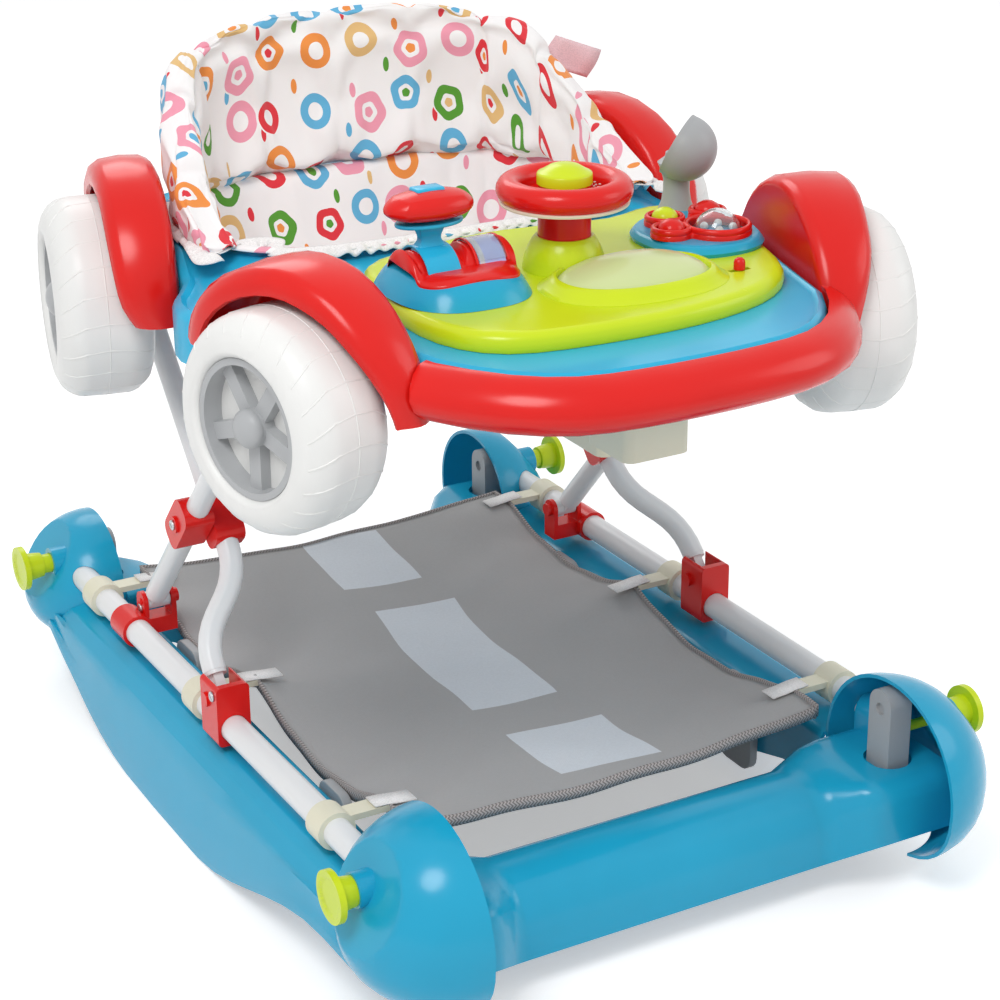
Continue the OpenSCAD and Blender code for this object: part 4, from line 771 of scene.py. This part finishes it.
# Rings of the bag: half width, half length, middle y, height
BAG = [(SEAT_X + 0.012, SEAT_HALF + 0.012, SEAT_MID, LIP + 0.0045),
       (SEAT_X + 0.004, SEAT_HALF + 0.004, SEAT_MID, LIP + 0.0055),
       (SEAT_X - 0.003, SEAT_HALF - 0.004, SEAT_MID, LIP + 0.002),
       (SEAT_X - 0.004, SEAT_HALF - 0.005, SEAT_MID, LIP - 0.010),
       (SEAT_X - 0.009, SEAT_HALF - 0.011, SEAT_MID - 0.002, LIP - 0.040),
       (0.149, 0.083, SEAT_MID - 0.006, LIP - 0.082),
       (0.117, 0.065, SEAT_MID - 0.008, LIP - 0.121), (0.069, 0.039, SEAT_MID - 0.010, 0.3245),
       (0.026, 0.016, SEAT_MID - 0.010, 0.3195), (0.004, 0.003, SEAT_MID - 0.010, 0.319)]


def oval_point(cx, cy, a, b, angle, power):
    c, s = math.cos(angle), math.sin(angle)
    return cx + a * math.copysign(abs(c) ** (2 / power), c), cy + b * math.copysign(abs(s) ** (2 / power), s)


def seat_bag():
    around, down = 144, 40
    profile, _ = curve_through([(r[0], r[1], r[3]) for r in BAG], down)
    middles, _ = curve_through([(r[2], r[3], 0) for r in BAG], down)
    points, maps, pins = [], [], {}
    rim = [Vector((*oval_point(0, 0, SEAT_X, SEAT_HALF, 2 * math.pi * j / around, 3), 0))
           for j in range(around + 1)]
    run = [0.0]
    for here, there in zip(rim, rim[1:]):
        run.append(run[-1] + (there - here).length)
    for i in range(down):
        a, b, z = profile[i]
        cy = middles[i].x
        depth = LIP - z
        for j in range(around):
            t = 2 * math.pi * j / around
            x, y = oval_point(0, cy, a, b, t, 3)
            fold = math.sin(t * 15 + 1.3 * math.sin(t * 4)) * math.sin(t * 2 + 0.7)
            pull = 1.6 * MM * fold * min(max(depth / 0.02, 0), 1) * min(max((0.13 - depth) / 0.04, 0), 1)
            away = Vector((x, y - cy, 0)).normalized()
            points.append(Vector((x, y, z)) - away * abs(pull))
            maps.append((run[j], -depth))
            if depth < 0.002 or i > down - 4:
                pins[len(points) - 1] = 1.0
    faces = quads(down, around)
    faces.append(tuple((down - 1) * around + j for j in range(around)))
    made = mesh_piece("seat_bag", points, faces, maps)
    puffed(made, pins, 0.0, 0.03, 6 * MM, gravity=0.15)
    face_out(made)
    modify(made, "SOLIDIFY", thickness=1.2 * MM, offset=0)
    for side in (-1, 1):
        cut_out(made, cylinder(0.037, 0.15, (side * 0.058, 0.028, 0.352), 48, (math.radians(50), 0, 0)))
    cloth_piece(made, cotton, "car")
    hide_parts("seat_sling")


seat_bag()

# Seat trimmings: a gathered white frill under each wing and along the front of the bag's rim
FRILL_KEYS = [(-182, 149), (-192, 110), (-193, 71), (-199, 44), (-203, 22), (-190, 24), (-172, 38),
              (-152, 40), (-140, 28), (-148, 6), (-120, -6), (-80, -12), (-40, -14), (0, -14)]


def frill():
    keys = [(x * MM, y * MM, 0) for x, y in FRILL_KEYS]
    keys += [(-x, y, z) for x, y, z in reversed(keys[:-1])]
    count = 900
    line, length = curve_through(keys, count)
    points, maps = [], []
    for i, p in enumerate(line):
        ahead, behind = line[min(i + 1, count - 1)], line[max(i - 1, 0)]
        along = (ahead - behind).normalized()
        out = Vector((along.y, -along.x, 0))
        if out.dot(p - Vector((0, 0.1, 0))) < 0:
            out = -out
        d = length * i / (count - 1)
        wave = math.sin(d * 2 * math.pi / 0.0135 + 1.7 * math.sin(d * 61)) * (0.7 + 0.3 * math.sin(d * 137))
        for step in range(7):
            t = step / 6
            reach = (-4 + 13 * t) * MM + 1.4 * MM * wave * t
            rise = (7.0 - 5.0 * t) * MM + 2.6 * MM * wave * t + 1.6 * MM * math.sin(math.pi * t)
            points.append((p.x + out.x * reach, p.y + out.y * reach, LIP + rise))
            maps.append((d, reach))
    made = mesh_piece("seat_frill", points, quads(count, 7, closed=False), maps)
    modify(made, "SOLIDIFY", thickness=0.8 * MM, offset=0)
    cloth_piece(made, white_cotton, "car")


frill()

# Cord lock in the right corner of the cover's lower edge, and the bare pink label beside its right edge
toggle = cylinder(0.0048, 0.013, (0.134, 0.188, 0.4905), 24, (0, math.radians(75), math.radians(-30)))
rounded(toggle, 1.5 * MM)
dress(toggle, "cord_lock", rubber_dark, "car")
# The label's sewn end, and its length outwards
TAG_ENDS, TAG_OUT = [(0.1760, 0.1720, 0.5470), (0.1900, 0.1720, 0.5700)], (0.047, 0, -0.018)


def label_tag():
    points, maps = [], []
    start, end = (Vector(v) for v in TAG_ENDS)
    for i in range(9):
        t = i / 8
        spot = start.lerp(end, t)
        for k in range(5):
            curl = Vector((0, 2 * MM * math.sin(t * 4 + k * 0.6), 0))
            points.append(spot + Vector(TAG_OUT) * (k / 4) + curl)
            maps.append((k * 0.0125, t * 0.026))
    made = mesh_piece("label_tag", points, quads(9, 5, closed=False), maps)
    modify(made, "SOLIDIFY", thickness=0.5 * MM, offset=0)
    cloth_piece(made, label_tape, "car")


label_tag()

# ---------------------------------------------------------------- play mat

MAT_X, MAT_FRONT, MAT_REAR, MAT_Z = 0.1815, -0.250, 0.268, 0.112
CLIPS = (-0.213, 0.020, 0.245)


def mat_height(x, y):
    """The mat hangs from its clips, and sags between them and in the middle."""
    across = (x / MAT_X) ** 2
    along = (y - MAT_FRONT) / (MAT_REAR - MAT_FRONT)
    side = 0.0
    for a, b in zip(CLIPS, CLIPS[1:]):
        if a <= y <= b:
            side = 24 * MM * math.sin(math.pi * (y - a) / (b - a))
    return MAT_Z + 2 * MM - across * side - (1 - across) * (11 + 20 * math.sin(math.pi * along)) * MM


def ripple(x, y):
    """Slack cloth: small waves that run in from the clips."""
    edge = abs(x) / MAT_X
    wave = math.sin(y * 95 + 2.2 * math.sin(x * 31)) * (0.4 + 0.6 * edge)
    return 0.9 * MM * wave + 0.8 * MM * math.sin(x * 60 + y * 23)


def play_mat():
    wide, long = 44, 64
    points, maps = [], []
    for j in range(long + 1):
        y = MAT_FRONT + (MAT_REAR - MAT_FRONT) * j / long
        for i in range(wide + 1):
            x = MAT_X * (2 * i / wide - 1)
            points.append((x, y, mat_height(x, y) + ripple(x, y)))
            maps.append((x, y))
    made = mesh_piece("play_mat_cloth", points, quads(long + 1, wide + 1, closed=False), maps)
    modify(made, "SOLIDIFY", thickness=1.4 * MM, offset=0)
    cloth_piece(made, mat_weave, "base")
    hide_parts("play_mat")
    return made


def band(name, line, width, lean=0.0, thickness=2.2 * MM):
    """Binding tape that stands on edge along a line, its map running along it."""
    points, maps = [], []
    reach = 0.0
    half, t = width / 2, thickness / 2
    ring = [(-t, -half), (t, -half), (t * 1.15, 0), (t, half), (-t, half), (-t * 1.15, 0)]
    n = len(ring)
    for i, p in enumerate(line):
        along = (line[min(i + 1, len(line) - 1)] - line[max(i - 1, 0)]).normalized()
        out = Vector((along.y, -along.x, 0)).normalized()
        up = Vector((0, 0, 1)) + out * lean
        if i:
            reach += (p - line[i - 1]).length
        for a, b in ring:
            points.append(p + out * a + up * b)
            maps.append((reach, b))
    faces = quads(len(line), n) + [tuple(range(n))[::-1], tuple((len(line) - 1) * n + j for j in range(n))]
    made = mesh_piece(name, points, faces, maps)
    face_out(made)
    cloth_piece(made, tape, "base")
    return made


def mat_edges():
    """Binding round the mat: it hangs a little below the cloth along the sides, and crosses both ends."""
    out = []
    for side in (-1, 1):
        line = []
        for j in range(97):
            y = MAT_FRONT + (MAT_REAR - MAT_FRONT) * j / 96
            x = side * MAT_X
            line.append(Vector((x - side * 1.2 * MM, y, mat_height(x, y) + ripple(x, y) - 3 * MM)))
        out.append(band("mat_binding_right" if side > 0 else "mat_binding_left", line, 12 * MM, side * 0.15))
    for y, name in ((MAT_FRONT, "mat_binding_front"), (MAT_REAR, "mat_binding_rear")):
        line = []
        for i in range(65):
            x = MAT_X * (2 * i / 64 - 1)
            line.append(Vector((x, y, mat_height(x, y) + ripple(x, y) - 2 * MM)))
        out.append(band(name, line, 9 * MM))
    return out


def mat_tabs():
    """White webbing tabs sewn under the mat's edge at each clip."""
    points, faces = [], []
    for side in (-1, 1):
        for y in CLIPS:
            z = mat_height(side * MAT_X, y)
            base = len(points)
            rows = [(side * (MAT_X - 22 * MM), z + 0.4 * MM), (side * (MAT_X - 8 * MM), z + 1.6 * MM),
                    (side * (MAT_X + 2 * MM), z + 3.0 * MM), (side * (MAT_X + 12 * MM), z + 3.6 * MM)]
            for x, up in rows:
                for way in (-8, 8):
                    points.append((x, y + way * MM, up))
            for r in range(3):
                a = base + 2 * r
                quad = (a, a + 2, a + 3, a + 1)
                faces.append(quad if side > 0 else quad[::-1])
    made = mesh_piece("mat_tabs", points, faces)
    modify(made, "SOLIDIFY", thickness=1.0 * MM, offset=0)
    cloth_piece(made, white_cotton, "base")
    return made


mat = play_mat()
bindings = mat_edges()
tabs = mat_tabs()

# ---------------------------------------------------------------- tray toys


def joined(pieces):
    """Makes several primitives one mesh."""
    bpy.ops.object.select_all(action="DESELECT")
    for piece in pieces:
        piece.select_set(True)
    bpy.context.view_layer.objects.active = pieces[0]
    bpy.ops.object.join()
    return bpy.context.object


def arc_band(radius, width, middle, low, thickness, vertices=120):
    """A band bent round an axis across the car: the top of a tube, down to a height over its axis."""
    x, z = middle
    made = cylinder(radius, width, (x, POD_Y, z), vertices, (0, math.radians(90), 0))
    drop(made, lambda c, n: abs(n.x) > 0.9)
    drop(made, lambda c, n: c.z < z + low)
    modify(made, "SOLIDIFY", thickness=thickness, offset=-1)
    return made


# Gear lever: a red pillow with a blue cap, on a blue stem over a curved blue plate
LEVER_X = -0.106
PIVOT_Z = CONSOLE_TOP + 0.009
HANDLE_Z = 0.527


def gear_handle():
    made = block((2, 2, 2), (LEVER_X, POD_Y, HANDLE_Z + 0.0115))
    in_edit(made, "SELECT")
    bpy.ops.mesh.subdivide(number_cuts=20)
    bpy.ops.transform.tosphere(value=0.86)
    bpy.ops.transform.resize(value=(0.0274, 0.0161, 0.0101))
    out_of_edit()
    base = HANDLE_Z + 0.0085
    stretch(made, lambda c, n: c.z < base, (0.98, 0.98, 0.60), (LEVER_X, POD_Y, base))
    dress(made, "gear_handle", red_pp, "gear_lever", 80)
    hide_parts("gear_lever")

    cap = block((0.022, 0.014, 0.004), (LEVER_X, POD_Y + 2 * MM, HANDLE_Z + 0.0233))
    rounded(cap, 1.6 * MM)
    dress(cap, "gear_cap", tray_pp, "gear_lever")

    flange = cylinder(0.026, 0.003, (LEVER_X, POD_Y, HANDLE_Z + 0.0005), 64)
    stretch(flange, lambda c, n: True, (1, 0.6, 1), (LEVER_X, POD_Y, HANDLE_Z))
    rounded(flange, 1.2 * MM)
    dress(flange, "gear_flange", tray_pp, "gear_lever")

    # Stem: a flat bar that widens into the curved plate over the gate
    height = HANDLE_Z - PIVOT_Z - 0.020
    stem = block((0.016, 0.007, height), (LEVER_X, POD_Y, PIVOT_Z + 0.020 + height / 2))
    in_edit(stem, "SELECT")
    bpy.ops.mesh.subdivide(number_cuts=4)
    out_of_edit()
    stretch(stem, lambda c, n: c.z < PIVOT_Z + 0.024, (1.5, 1.9, 1), (LEVER_X, POD_Y, PIVOT_Z + 0.022))
    stretch(stem, lambda c, n: c.z > HANDLE_Z - 0.004, (1.25, 1.6, 1), (LEVER_X, POD_Y, HANDLE_Z))
    modify(stem, "SUBSURF", levels=2, render_levels=2)
    dress(stem, "gear_stem", tray_pp, "gear_lever", 60)

    # Gate plate over the pivot
    plate = arc_band(0.0262, 0.026, (LEVER_X, PIVOT_Z), 0.0045, 1.6 * MM, 96)
    rounded(plate, 0.6 * MM)
    dress(plate, "gear_gate_plate", tray_pp, "gear_lever")


gear_handle()

# Pod: a smooth blue mound with a red saddle over it. Their forms flow into each other in ways that
# blocks and bevels can't follow, so both are drawn from one height function.
POD_A, POD_B = 0.050, 0.057


def pod_height(x, y):
    """Height of the blue mound above the console."""
    spread = (abs((x - POD_X) / POD_A) ** 2.6 + abs((y - POD_Y) / POD_B) ** 2.6) ** (1 / 2.6)
    if spread < 0.58:
        return 0.0195
    return max(0.0195 * (1 - ((spread - 0.58) / 0.44) ** 2.5), 0)


def bump_of(distance, radius):
    """Height of a round bar whose axis is that far away, above its own middle."""
    return math.sqrt(max(radius ** 2 - distance ** 2, 0))


def soft_step(value, low, high):
    t = min(max((value - low) / (high - low), 0), 1)
    return t * t * (3 - 2 * t)


def saddle_height(x, y):
    """Height of the red saddle: the mound, the bar under the lever's plate, the drum's hump and a fin."""
    base = pod_height(x, y) + 0.0014
    gate = 0.009 + bump_of(y - POD_Y, 0.0228) - 0.004 * soft_step(abs(x - LEVER_X), 0.016, 0.020)
    hump = 0.0115 + bump_of(y - POD_Y, 0.0212)
    gate_on = 1 - soft_step(abs(x - LEVER_X), 0.015, 0.021)
    hump_on = (soft_step(x, DRUM_X - 0.024, DRUM_X - 0.016)
               * (1 - soft_step(x, DRUM_X + 0.017, DRUM_X + 0.030)))
    fin_on = math.exp(-((x + 0.1265) / 0.0045) ** 2)
    fin = 0.009 + bump_of(y - POD_Y, 0.0245)
    out = base
    for height, on in ((gate, gate_on), (hump, hump_on), (fin, fin_on)):
        out = max(out, base + (height - base) * on)
    return out


def polar_cap(name, outline, height, rings, skirt):
    """A cap over a closed outline given as a radius by angle, with its height from a function."""
    around = 120
    points = [(POD_X, POD_Y, CONSOLE_TOP + height(POD_X, POD_Y))]
    for part, lower in [(r / rings, 0.0) for r in range(1, rings + 1)] + [(1.0, skirt)]:
        for j in range(around):
            t = 2 * math.pi * j / around
            reach = outline(t) * part
            x, y = POD_X + reach * math.cos(t), POD_Y + reach * math.sin(t)
            points.append((x, y, CONSOLE_TOP + height(x, y) - lower))
    faces = [(0, 1 + j, 1 + (j + 1) % around) for j in range(around)]
    return mesh_piece(name, points, faces + quads(rings + 1, around, flipped=True, first=1))


def superellipse_reach(angle, a, b, power):
    return (abs(math.cos(angle) / a) ** power + abs(math.sin(angle) / b) ** power) ** (-1 / power)


mound = polar_cap("gear_mound", lambda t: superellipse_reach(t, POD_A * 1.018, POD_B * 1.018, 2.6),
                  pod_height, rings=40, skirt=0.0)
dress(mound, "gear_mound", blue_pp, "car", 60)
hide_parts("gear_pod")


def saddle_edge(t):
    """The saddle's wavy edge: low in front of the lever, high at the left end and towards the back."""
    wave = 0.80 + 0.05 * math.cos(t + 1.9) + 0.035 * math.cos(2 * t + 0.5)
    return superellipse_reach(t, POD_A, POD_B * 0.96, 3.2) * wave


saddle = polar_cap("gear_saddle", saddle_edge, saddle_height, rings=44, skirt=1.5 * MM)
dress(saddle, "gear_saddle", red_pp, "car", 60)
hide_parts("pod_cover")

# Picture window: a clear curved pane, with a red lip at each end, over a printed band on the drum
DRUM_Z = CONSOLE_TOP + 0.0115
printed = arc_band(0.0222, 0.021, (DRUM_X, DRUM_Z), 0.006, 0.8 * MM)
dress(printed, "picture_band", film, "picture_drum")
pane = arc_band(0.0230, 0.023, (DRUM_X, DRUM_Z), 0.011, 0.6 * MM)
dress(pane, "picture_pane", crystal, "car")
for side, name in ((-1, "left"), (1, "right")):
    lip = arc_band(0.0234, 0.002, (DRUM_X + side * 0.0125, DRUM_Z), 0.010, 1.4 * MM)
    rounded(lip, 0.4 * MM)
    dress(lip, "picture_frame_" + name, red_pp, "car")

# Steering wheel: its middle on the column, and the height of its rim
COLUMN = Vector((0.007, -0.150, 0))
WHEEL_Z = 0.535


def turned(name, profile, place, material, body, angle=60):
    """A body of revolution about the upright axis, spun from its half section of (radius, height)."""
    bpy.ops.object.select_all(action="DESELECT")
    bpy.ops.mesh.primitive_plane_add(size=0.001, location=(0, 0, 0))
    made = bpy.context.object
    mesh = bpy.data.meshes.new(name)
    mesh.from_pydata([(r, 0, z) for r, z in profile], [(i, i + 1) for i in range(len(profile) - 1)], [])
    made.data = mesh
    in_edit(made, "SELECT", "EDGE")
    bpy.ops.mesh.spin(steps=72, angle=2 * math.pi, center=(0, 0, 0), axis=(0, 0, 1))
    bpy.ops.mesh.select_all(action="SELECT")
    bpy.ops.mesh.remove_doubles(threshold=1e-6)
    bpy.ops.mesh.normals_make_consistent(inside=False)
    out_of_edit()
    made.location = place
    return dress(made, name, material, body, angle)


turned("wheel_under_ring", [(0.034, -0.0082), (0.0462, -0.0075), (0.0478, -0.0085), (0.0474, -0.0100),
                            (0.0440, -0.0108), (0.034, -0.0108), (0.034, -0.0082)],
       (COLUMN.x, COLUMN.y, WHEEL_Z), cream_nylon, "steering_wheel", 40)
turned("horn_cap", [(0, 0.0190), (0.006, 0.0186), (0.011, 0.0170), (0.0155, 0.0142), (0.0180, 0.0128),
                    (0.0198, 0.0120), (0.0203, 0.0108), (0.0203, 0.0042), (0.0196, 0.0038), (0.0194, 0.0090),
                    (0, 0.0090)],
       (COLUMN.x, COLUMN.y, WHEEL_Z), lime_pp, "horn_button")

# Height over WHEEL_Z of the dish's face under each row of holes
DISH = (0.0006, 0.0, 0.0)


def sound_holes():
    """Rows of small holes in the wheel's dish, on both sides of the horn."""
    dots = []
    for side in (-1, 1):
        for row in range(3):
            for k in range(4):
                angle = side * math.pi / 2 + math.pi / 2 + (k - 1.5) * 0.26
                reach = 0.0215 + 0.0032 * row
                off = Vector((reach * math.cos(angle), reach * math.sin(angle), WHEEL_Z + DISH[row]))
                dots.append(cylinder(0.0009, 0.0006, COLUMN + off, 12))
    dress(joined(dots), "horn_sound_holes", white_pp, "steering_wheel")


sound_holes()

# ---------------------------------------------------------------- small parts

# Lime collar that the console raises round the lens: half width, half length and height of each ring
LENS_X, LENS_Y = 0.031, -0.207
COLLAR = [(0.0580, 0.0372, 0.0070), (0.0592, 0.0384, 0.0088), (0.0612, 0.0402, 0.0086),
          (0.0645, 0.0432, 0.0060), (0.0690, 0.0462, 0.0022), (0.0722, 0.0505, 0.0003),
          (0.0722, 0.0505, -0.001), (0.0580, 0.0372, -0.001)]


def lens_collar():
    around = 96
    points = []
    for a, b, rise in COLLAR:
        for j in range(around):
            x, y = oval_point(LENS_X, LENS_Y, a, b, 2 * math.pi * j / around, 2.3)
            points.append((x, y, CONSOLE_TOP + rise))
    faces = [tuple(i % len(points) for i in face) for face in quads(len(COLLAR) + 1, around)]
    made = mesh_piece("lens_collar", points, faces)
    face_out(made)
    cut_out(made, cylinder(0.0314, 0.05, (COLUMN.x, COLUMN.y, CONSOLE_TOP), 72))
    dress(made, "lens_collar", lime_pp, "car", 60)


lens_collar()

# Cluster: a red plate with a raised rim round each button and round the rattle
PANEL_TOP = 0.4853
CLUSTER = (0.1235, -0.1400)
CLUSTER_SPOTS = [(0.113, -0.121, 0.0158), (0.152, -0.121, 0.0152), (0.100, -0.150, 0.0158),
                 (0.136, -0.158, 0.0262)]


def cluster_reach(t):
    """How far the red plate goes from its middle in one direction: round the four rims, with soft hollows."""
    best = 0.012
    for x, y, r in CLUSTER_SPOTS:
        dx, dy = x - CLUSTER[0], y - CLUSTER[1]
        along = dx * math.cos(t) + dy * math.sin(t)
        off = abs(dx * math.sin(t) - dy * math.cos(t))
        if off < r:
            best = max(best, along + math.sqrt(r * r - off * off))
    return best


def cluster_plate():
    around = 180
    reaches = [cluster_reach(2 * math.pi * j / around) for j in range(around)]
    for _ in range(4):
        reaches = [(reaches[j - 1] + 2 * reaches[j] + reaches[(j + 1) % around]) / 4 for j in range(around)]
    points = []
    for inset, rise in ((0.0, 0.0), (0.0, 3 * MM), (1.2 * MM, 4.3 * MM), (4 * MM, 4.5 * MM)):
        for j, reach in enumerate(reaches):
            t, r = 2 * math.pi * j / around, reach - inset
            points.append((CLUSTER[0] + r * math.cos(t), CLUSTER[1] + r * math.sin(t), PANEL_TOP + rise))
    faces = quads(4, around) + [tuple(range(around))[::-1], tuple(3 * around + j for j in range(around))]
    made = mesh_piece("cluster_plate", points, faces)
    for x, y, r in CLUSTER_SPOTS:
        cut_out(made, cylinder(r - 0.0044, 0.03, (x, y, PANEL_TOP), 64))
    dress(made, "cluster_plate", red_pp, "car", 50)


cluster_plate()
rims = []
for x, y, r in CLUSTER_SPOTS:
    bpy.ops.object.select_all(action="DESELECT")
    bpy.ops.mesh.primitive_torus_add(major_radius=r - 0.0024, minor_radius=0.0022, major_segments=64,
                                     minor_segments=12, location=(x, y, PANEL_TOP + 0.0052))
    bpy.context.object.scale.z = 1.4
    settle(bpy.context.object)
    rims.append(bpy.context.object)
dress(joined(rims), "cluster_rims", red_pp, "car", 60)
for (x, y, r), name, finish, slot in zip(CLUSTER_SPOTS, ("lime", "back", "front"), (lime_pp, red_pp, red_pp),
                                         ("lime_plastic", "red_plastic", "red_plastic")):
    turned("button_cap_" + name, [(0, 0.0135), (0.004, 0.0130), (0.0075, 0.0110), (0.0096, 0.0082),
                                  (0.0102, 0.0050), (0.0102, 0.0030), (0, 0.0030)],
           (x, y, PANEL_TOP), finish, "cluster_button_" + name)

# Rattle: loose beads under the clear dome
beads = []
for x, y in ((0.128, -0.152), (0.142, -0.150), (0.146, -0.164), (0.131, -0.168)):
    bpy.ops.object.select_all(action="DESELECT")
    bpy.ops.mesh.primitive_uv_sphere_add(segments=20, ring_count=12, radius=0.0032,
                                         location=(x, y, PANEL_TOP + 0.0042))
    beads.append(bpy.context.object)
dress(joined(beads), "rattle_beads", white_pp, "car", 80)

# Mirror: a flared neck that runs into the cup, and the silvered disc in the cup's face
turned("mirror_neck", [(0.0125, 0.0), (0.0150, 0.0008), (0.0142, 0.0030), (0.0118, 0.0090), (0.0104, 0.0180),
                       (0.0104, 0.0260), (0.0122, 0.0330), (0.0152, 0.0400), (0.0100, 0.0440), (0, 0.0440)],
       (0.157, -0.070, CONSOLE_TOP + 0.4 * MM), grey_nylon, "mirror")
glass = cylinder(0.0222, 0.0008, (0, 0, 0), 64)
glass.matrix_world = (Matrix.Translation((0.153, -0.070, 0.5335)) @ Matrix.Rotation(math.radians(42), 4, "Z")
                      @ Matrix.Rotation(math.radians(-63), 4, "X") @ Matrix.Translation((0, 0, -0.0035)))
dress(glass, "mirror_glass", mirror_sheet, "mirror", 40)

# Power switch: a round red knob
low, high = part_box("power_switch")
knob = turned("switch_knob", [(0, 0.0095), (0.0022, 0.0090), (0.0038, 0.0075), (0.0043, 0.0055),
                              (0.0043, 0.0006), (0, 0.0006)],
              ((low.x + high.x) / 2, (low.y + high.y) / 2, CONSOLE_TOP),
              red_pp, "power_switch")
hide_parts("power_switch")

# Lock knobs: a thick neck that tapers from the dome's boss to the knob's face
for corner in CORNERS:
    low, high = (Vector(v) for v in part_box("castor_knob_" + corner))
    side = 1 if high.x > 0 else -1
    face = high.x if side > 0 else -low.x
    middle = (low + high) / 2
    neck_from, neck_to = face - 0.0205, face - 0.0045
    bpy.ops.object.select_all(action="DESELECT")
    bpy.ops.mesh.primitive_cone_add(vertices=48, radius1=0.0108, radius2=0.0128, depth=neck_to - neck_from,
                                    location=(side * (neck_from + neck_to) / 2, middle.y, middle.z),
                                    rotation=(0, side * math.radians(90), 0))
    neck = bpy.context.object
    rounded(neck, 0.6 * MM)
    dress(neck, "knob_neck_" + corner, lime_pp, "castor_knob_" + corner)

# Tyre tread: shallow curved ribs across each tyre, and its parting line
TYRE_R, TYRE_ROUND, TYRE_FLAT, RIBS = 0.079, 0.024, 0.014, 22
UP = Vector((0, 0, 1))


def tyre_ribs(corner):
    middle, axle, lay = wheel_place(corner)
    level = axle.cross(UP).normalized()
    stations = [math.radians(a) for a in range(-60, 61, 10)]
    points, faces = [], []
    for k in range(RIBS):
        first = len(points)
        for a in stations:
            flat = max(-1, min(1, a / math.radians(10))) * TYRE_FLAT
            swing = 2 * math.pi * k / RIBS + 0.16 * abs(a)
            for across, lift in ((-1.1, -0.3), (-0.5, 0.35), (0.5, 0.35), (1.1, -0.3)):
                reach = TYRE_R - TYRE_ROUND + (TYRE_ROUND + lift * MM) * math.cos(a)
                out = flat + (TYRE_ROUND + lift * MM) * math.sin(a)
                turn = swing + across * MM / reach
                points.append(middle + axle * out + (level * math.cos(turn) + UP * math.sin(turn)) * reach)
        faces += quads(len(stations), 4, first=first)
        last = first + 4 * (len(stations) - 1)
        faces += [tuple(end + j for j in range(4)) for end in (first, last)]
    ribs = mesh_piece("tyre_ribs_" + corner, points, faces)
    face_out(ribs)
    bpy.ops.object.select_all(action="DESELECT")
    bpy.ops.mesh.primitive_torus_add(major_segments=96, minor_segments=8, major_radius=TYRE_R,
                                     minor_radius=0.4 * MM)
    seam = bpy.context.object
    seam.matrix_world = Matrix.Translation(middle) @ lay
    settle(seam)
    dress(joined([ribs, seam]), "tyre_ribs_" + corner, white_pp, "toy_wheel_" + corner, 50)


for corner in CORNERS:
    tyre_ribs(corner)

# Zinc-plated pan-head screws through the clamps, the crossings and the sliders: node, body, y and height
SCREWS = [("rear_clamps", "base", 0.176, 0.122), ("crossing_outer", "rear_leg", 0.078, 0.236),
          ("slider_blocks", "sliders", -0.033, 0.136)]


def outer_face(node, side, y, z):
    """x of a node's outermost face on one side at a height and a depth."""
    item = frame["nodes"][node]
    tree = BVHTree.FromPolygons([item.matrix_world @ v.co for v in item.data.vertices],
                                [face.vertices for face in item.data.polygons])
    spot = tree.ray_cast(Vector((side * 0.5, y, z)), Vector((-side, 0, 0)))[0]
    if spot is None:
        raise ValueError("no face of %s at %.3f, %.3f" % (node, y, z))
    return spot.x


for node, body, y, z in SCREWS:
    for side, name in ((-1, "left"), (1, "right")):
        edge = outer_face(node, side, y, z)
        head = cylinder(0.0042, 0.0022, (edge + side * 0.0006, y, z), 32, (0, math.radians(90), 0))
        rounded(head, 0.8 * MM)
        slit = block((0.002, 0.0055, 0.001), (edge + side * 0.0018, y, z), (math.radians(35), 0, 0))
        cut_out(head, slit)
        dress(head, "screw_%s_%s" % (node, name), zinc, body)
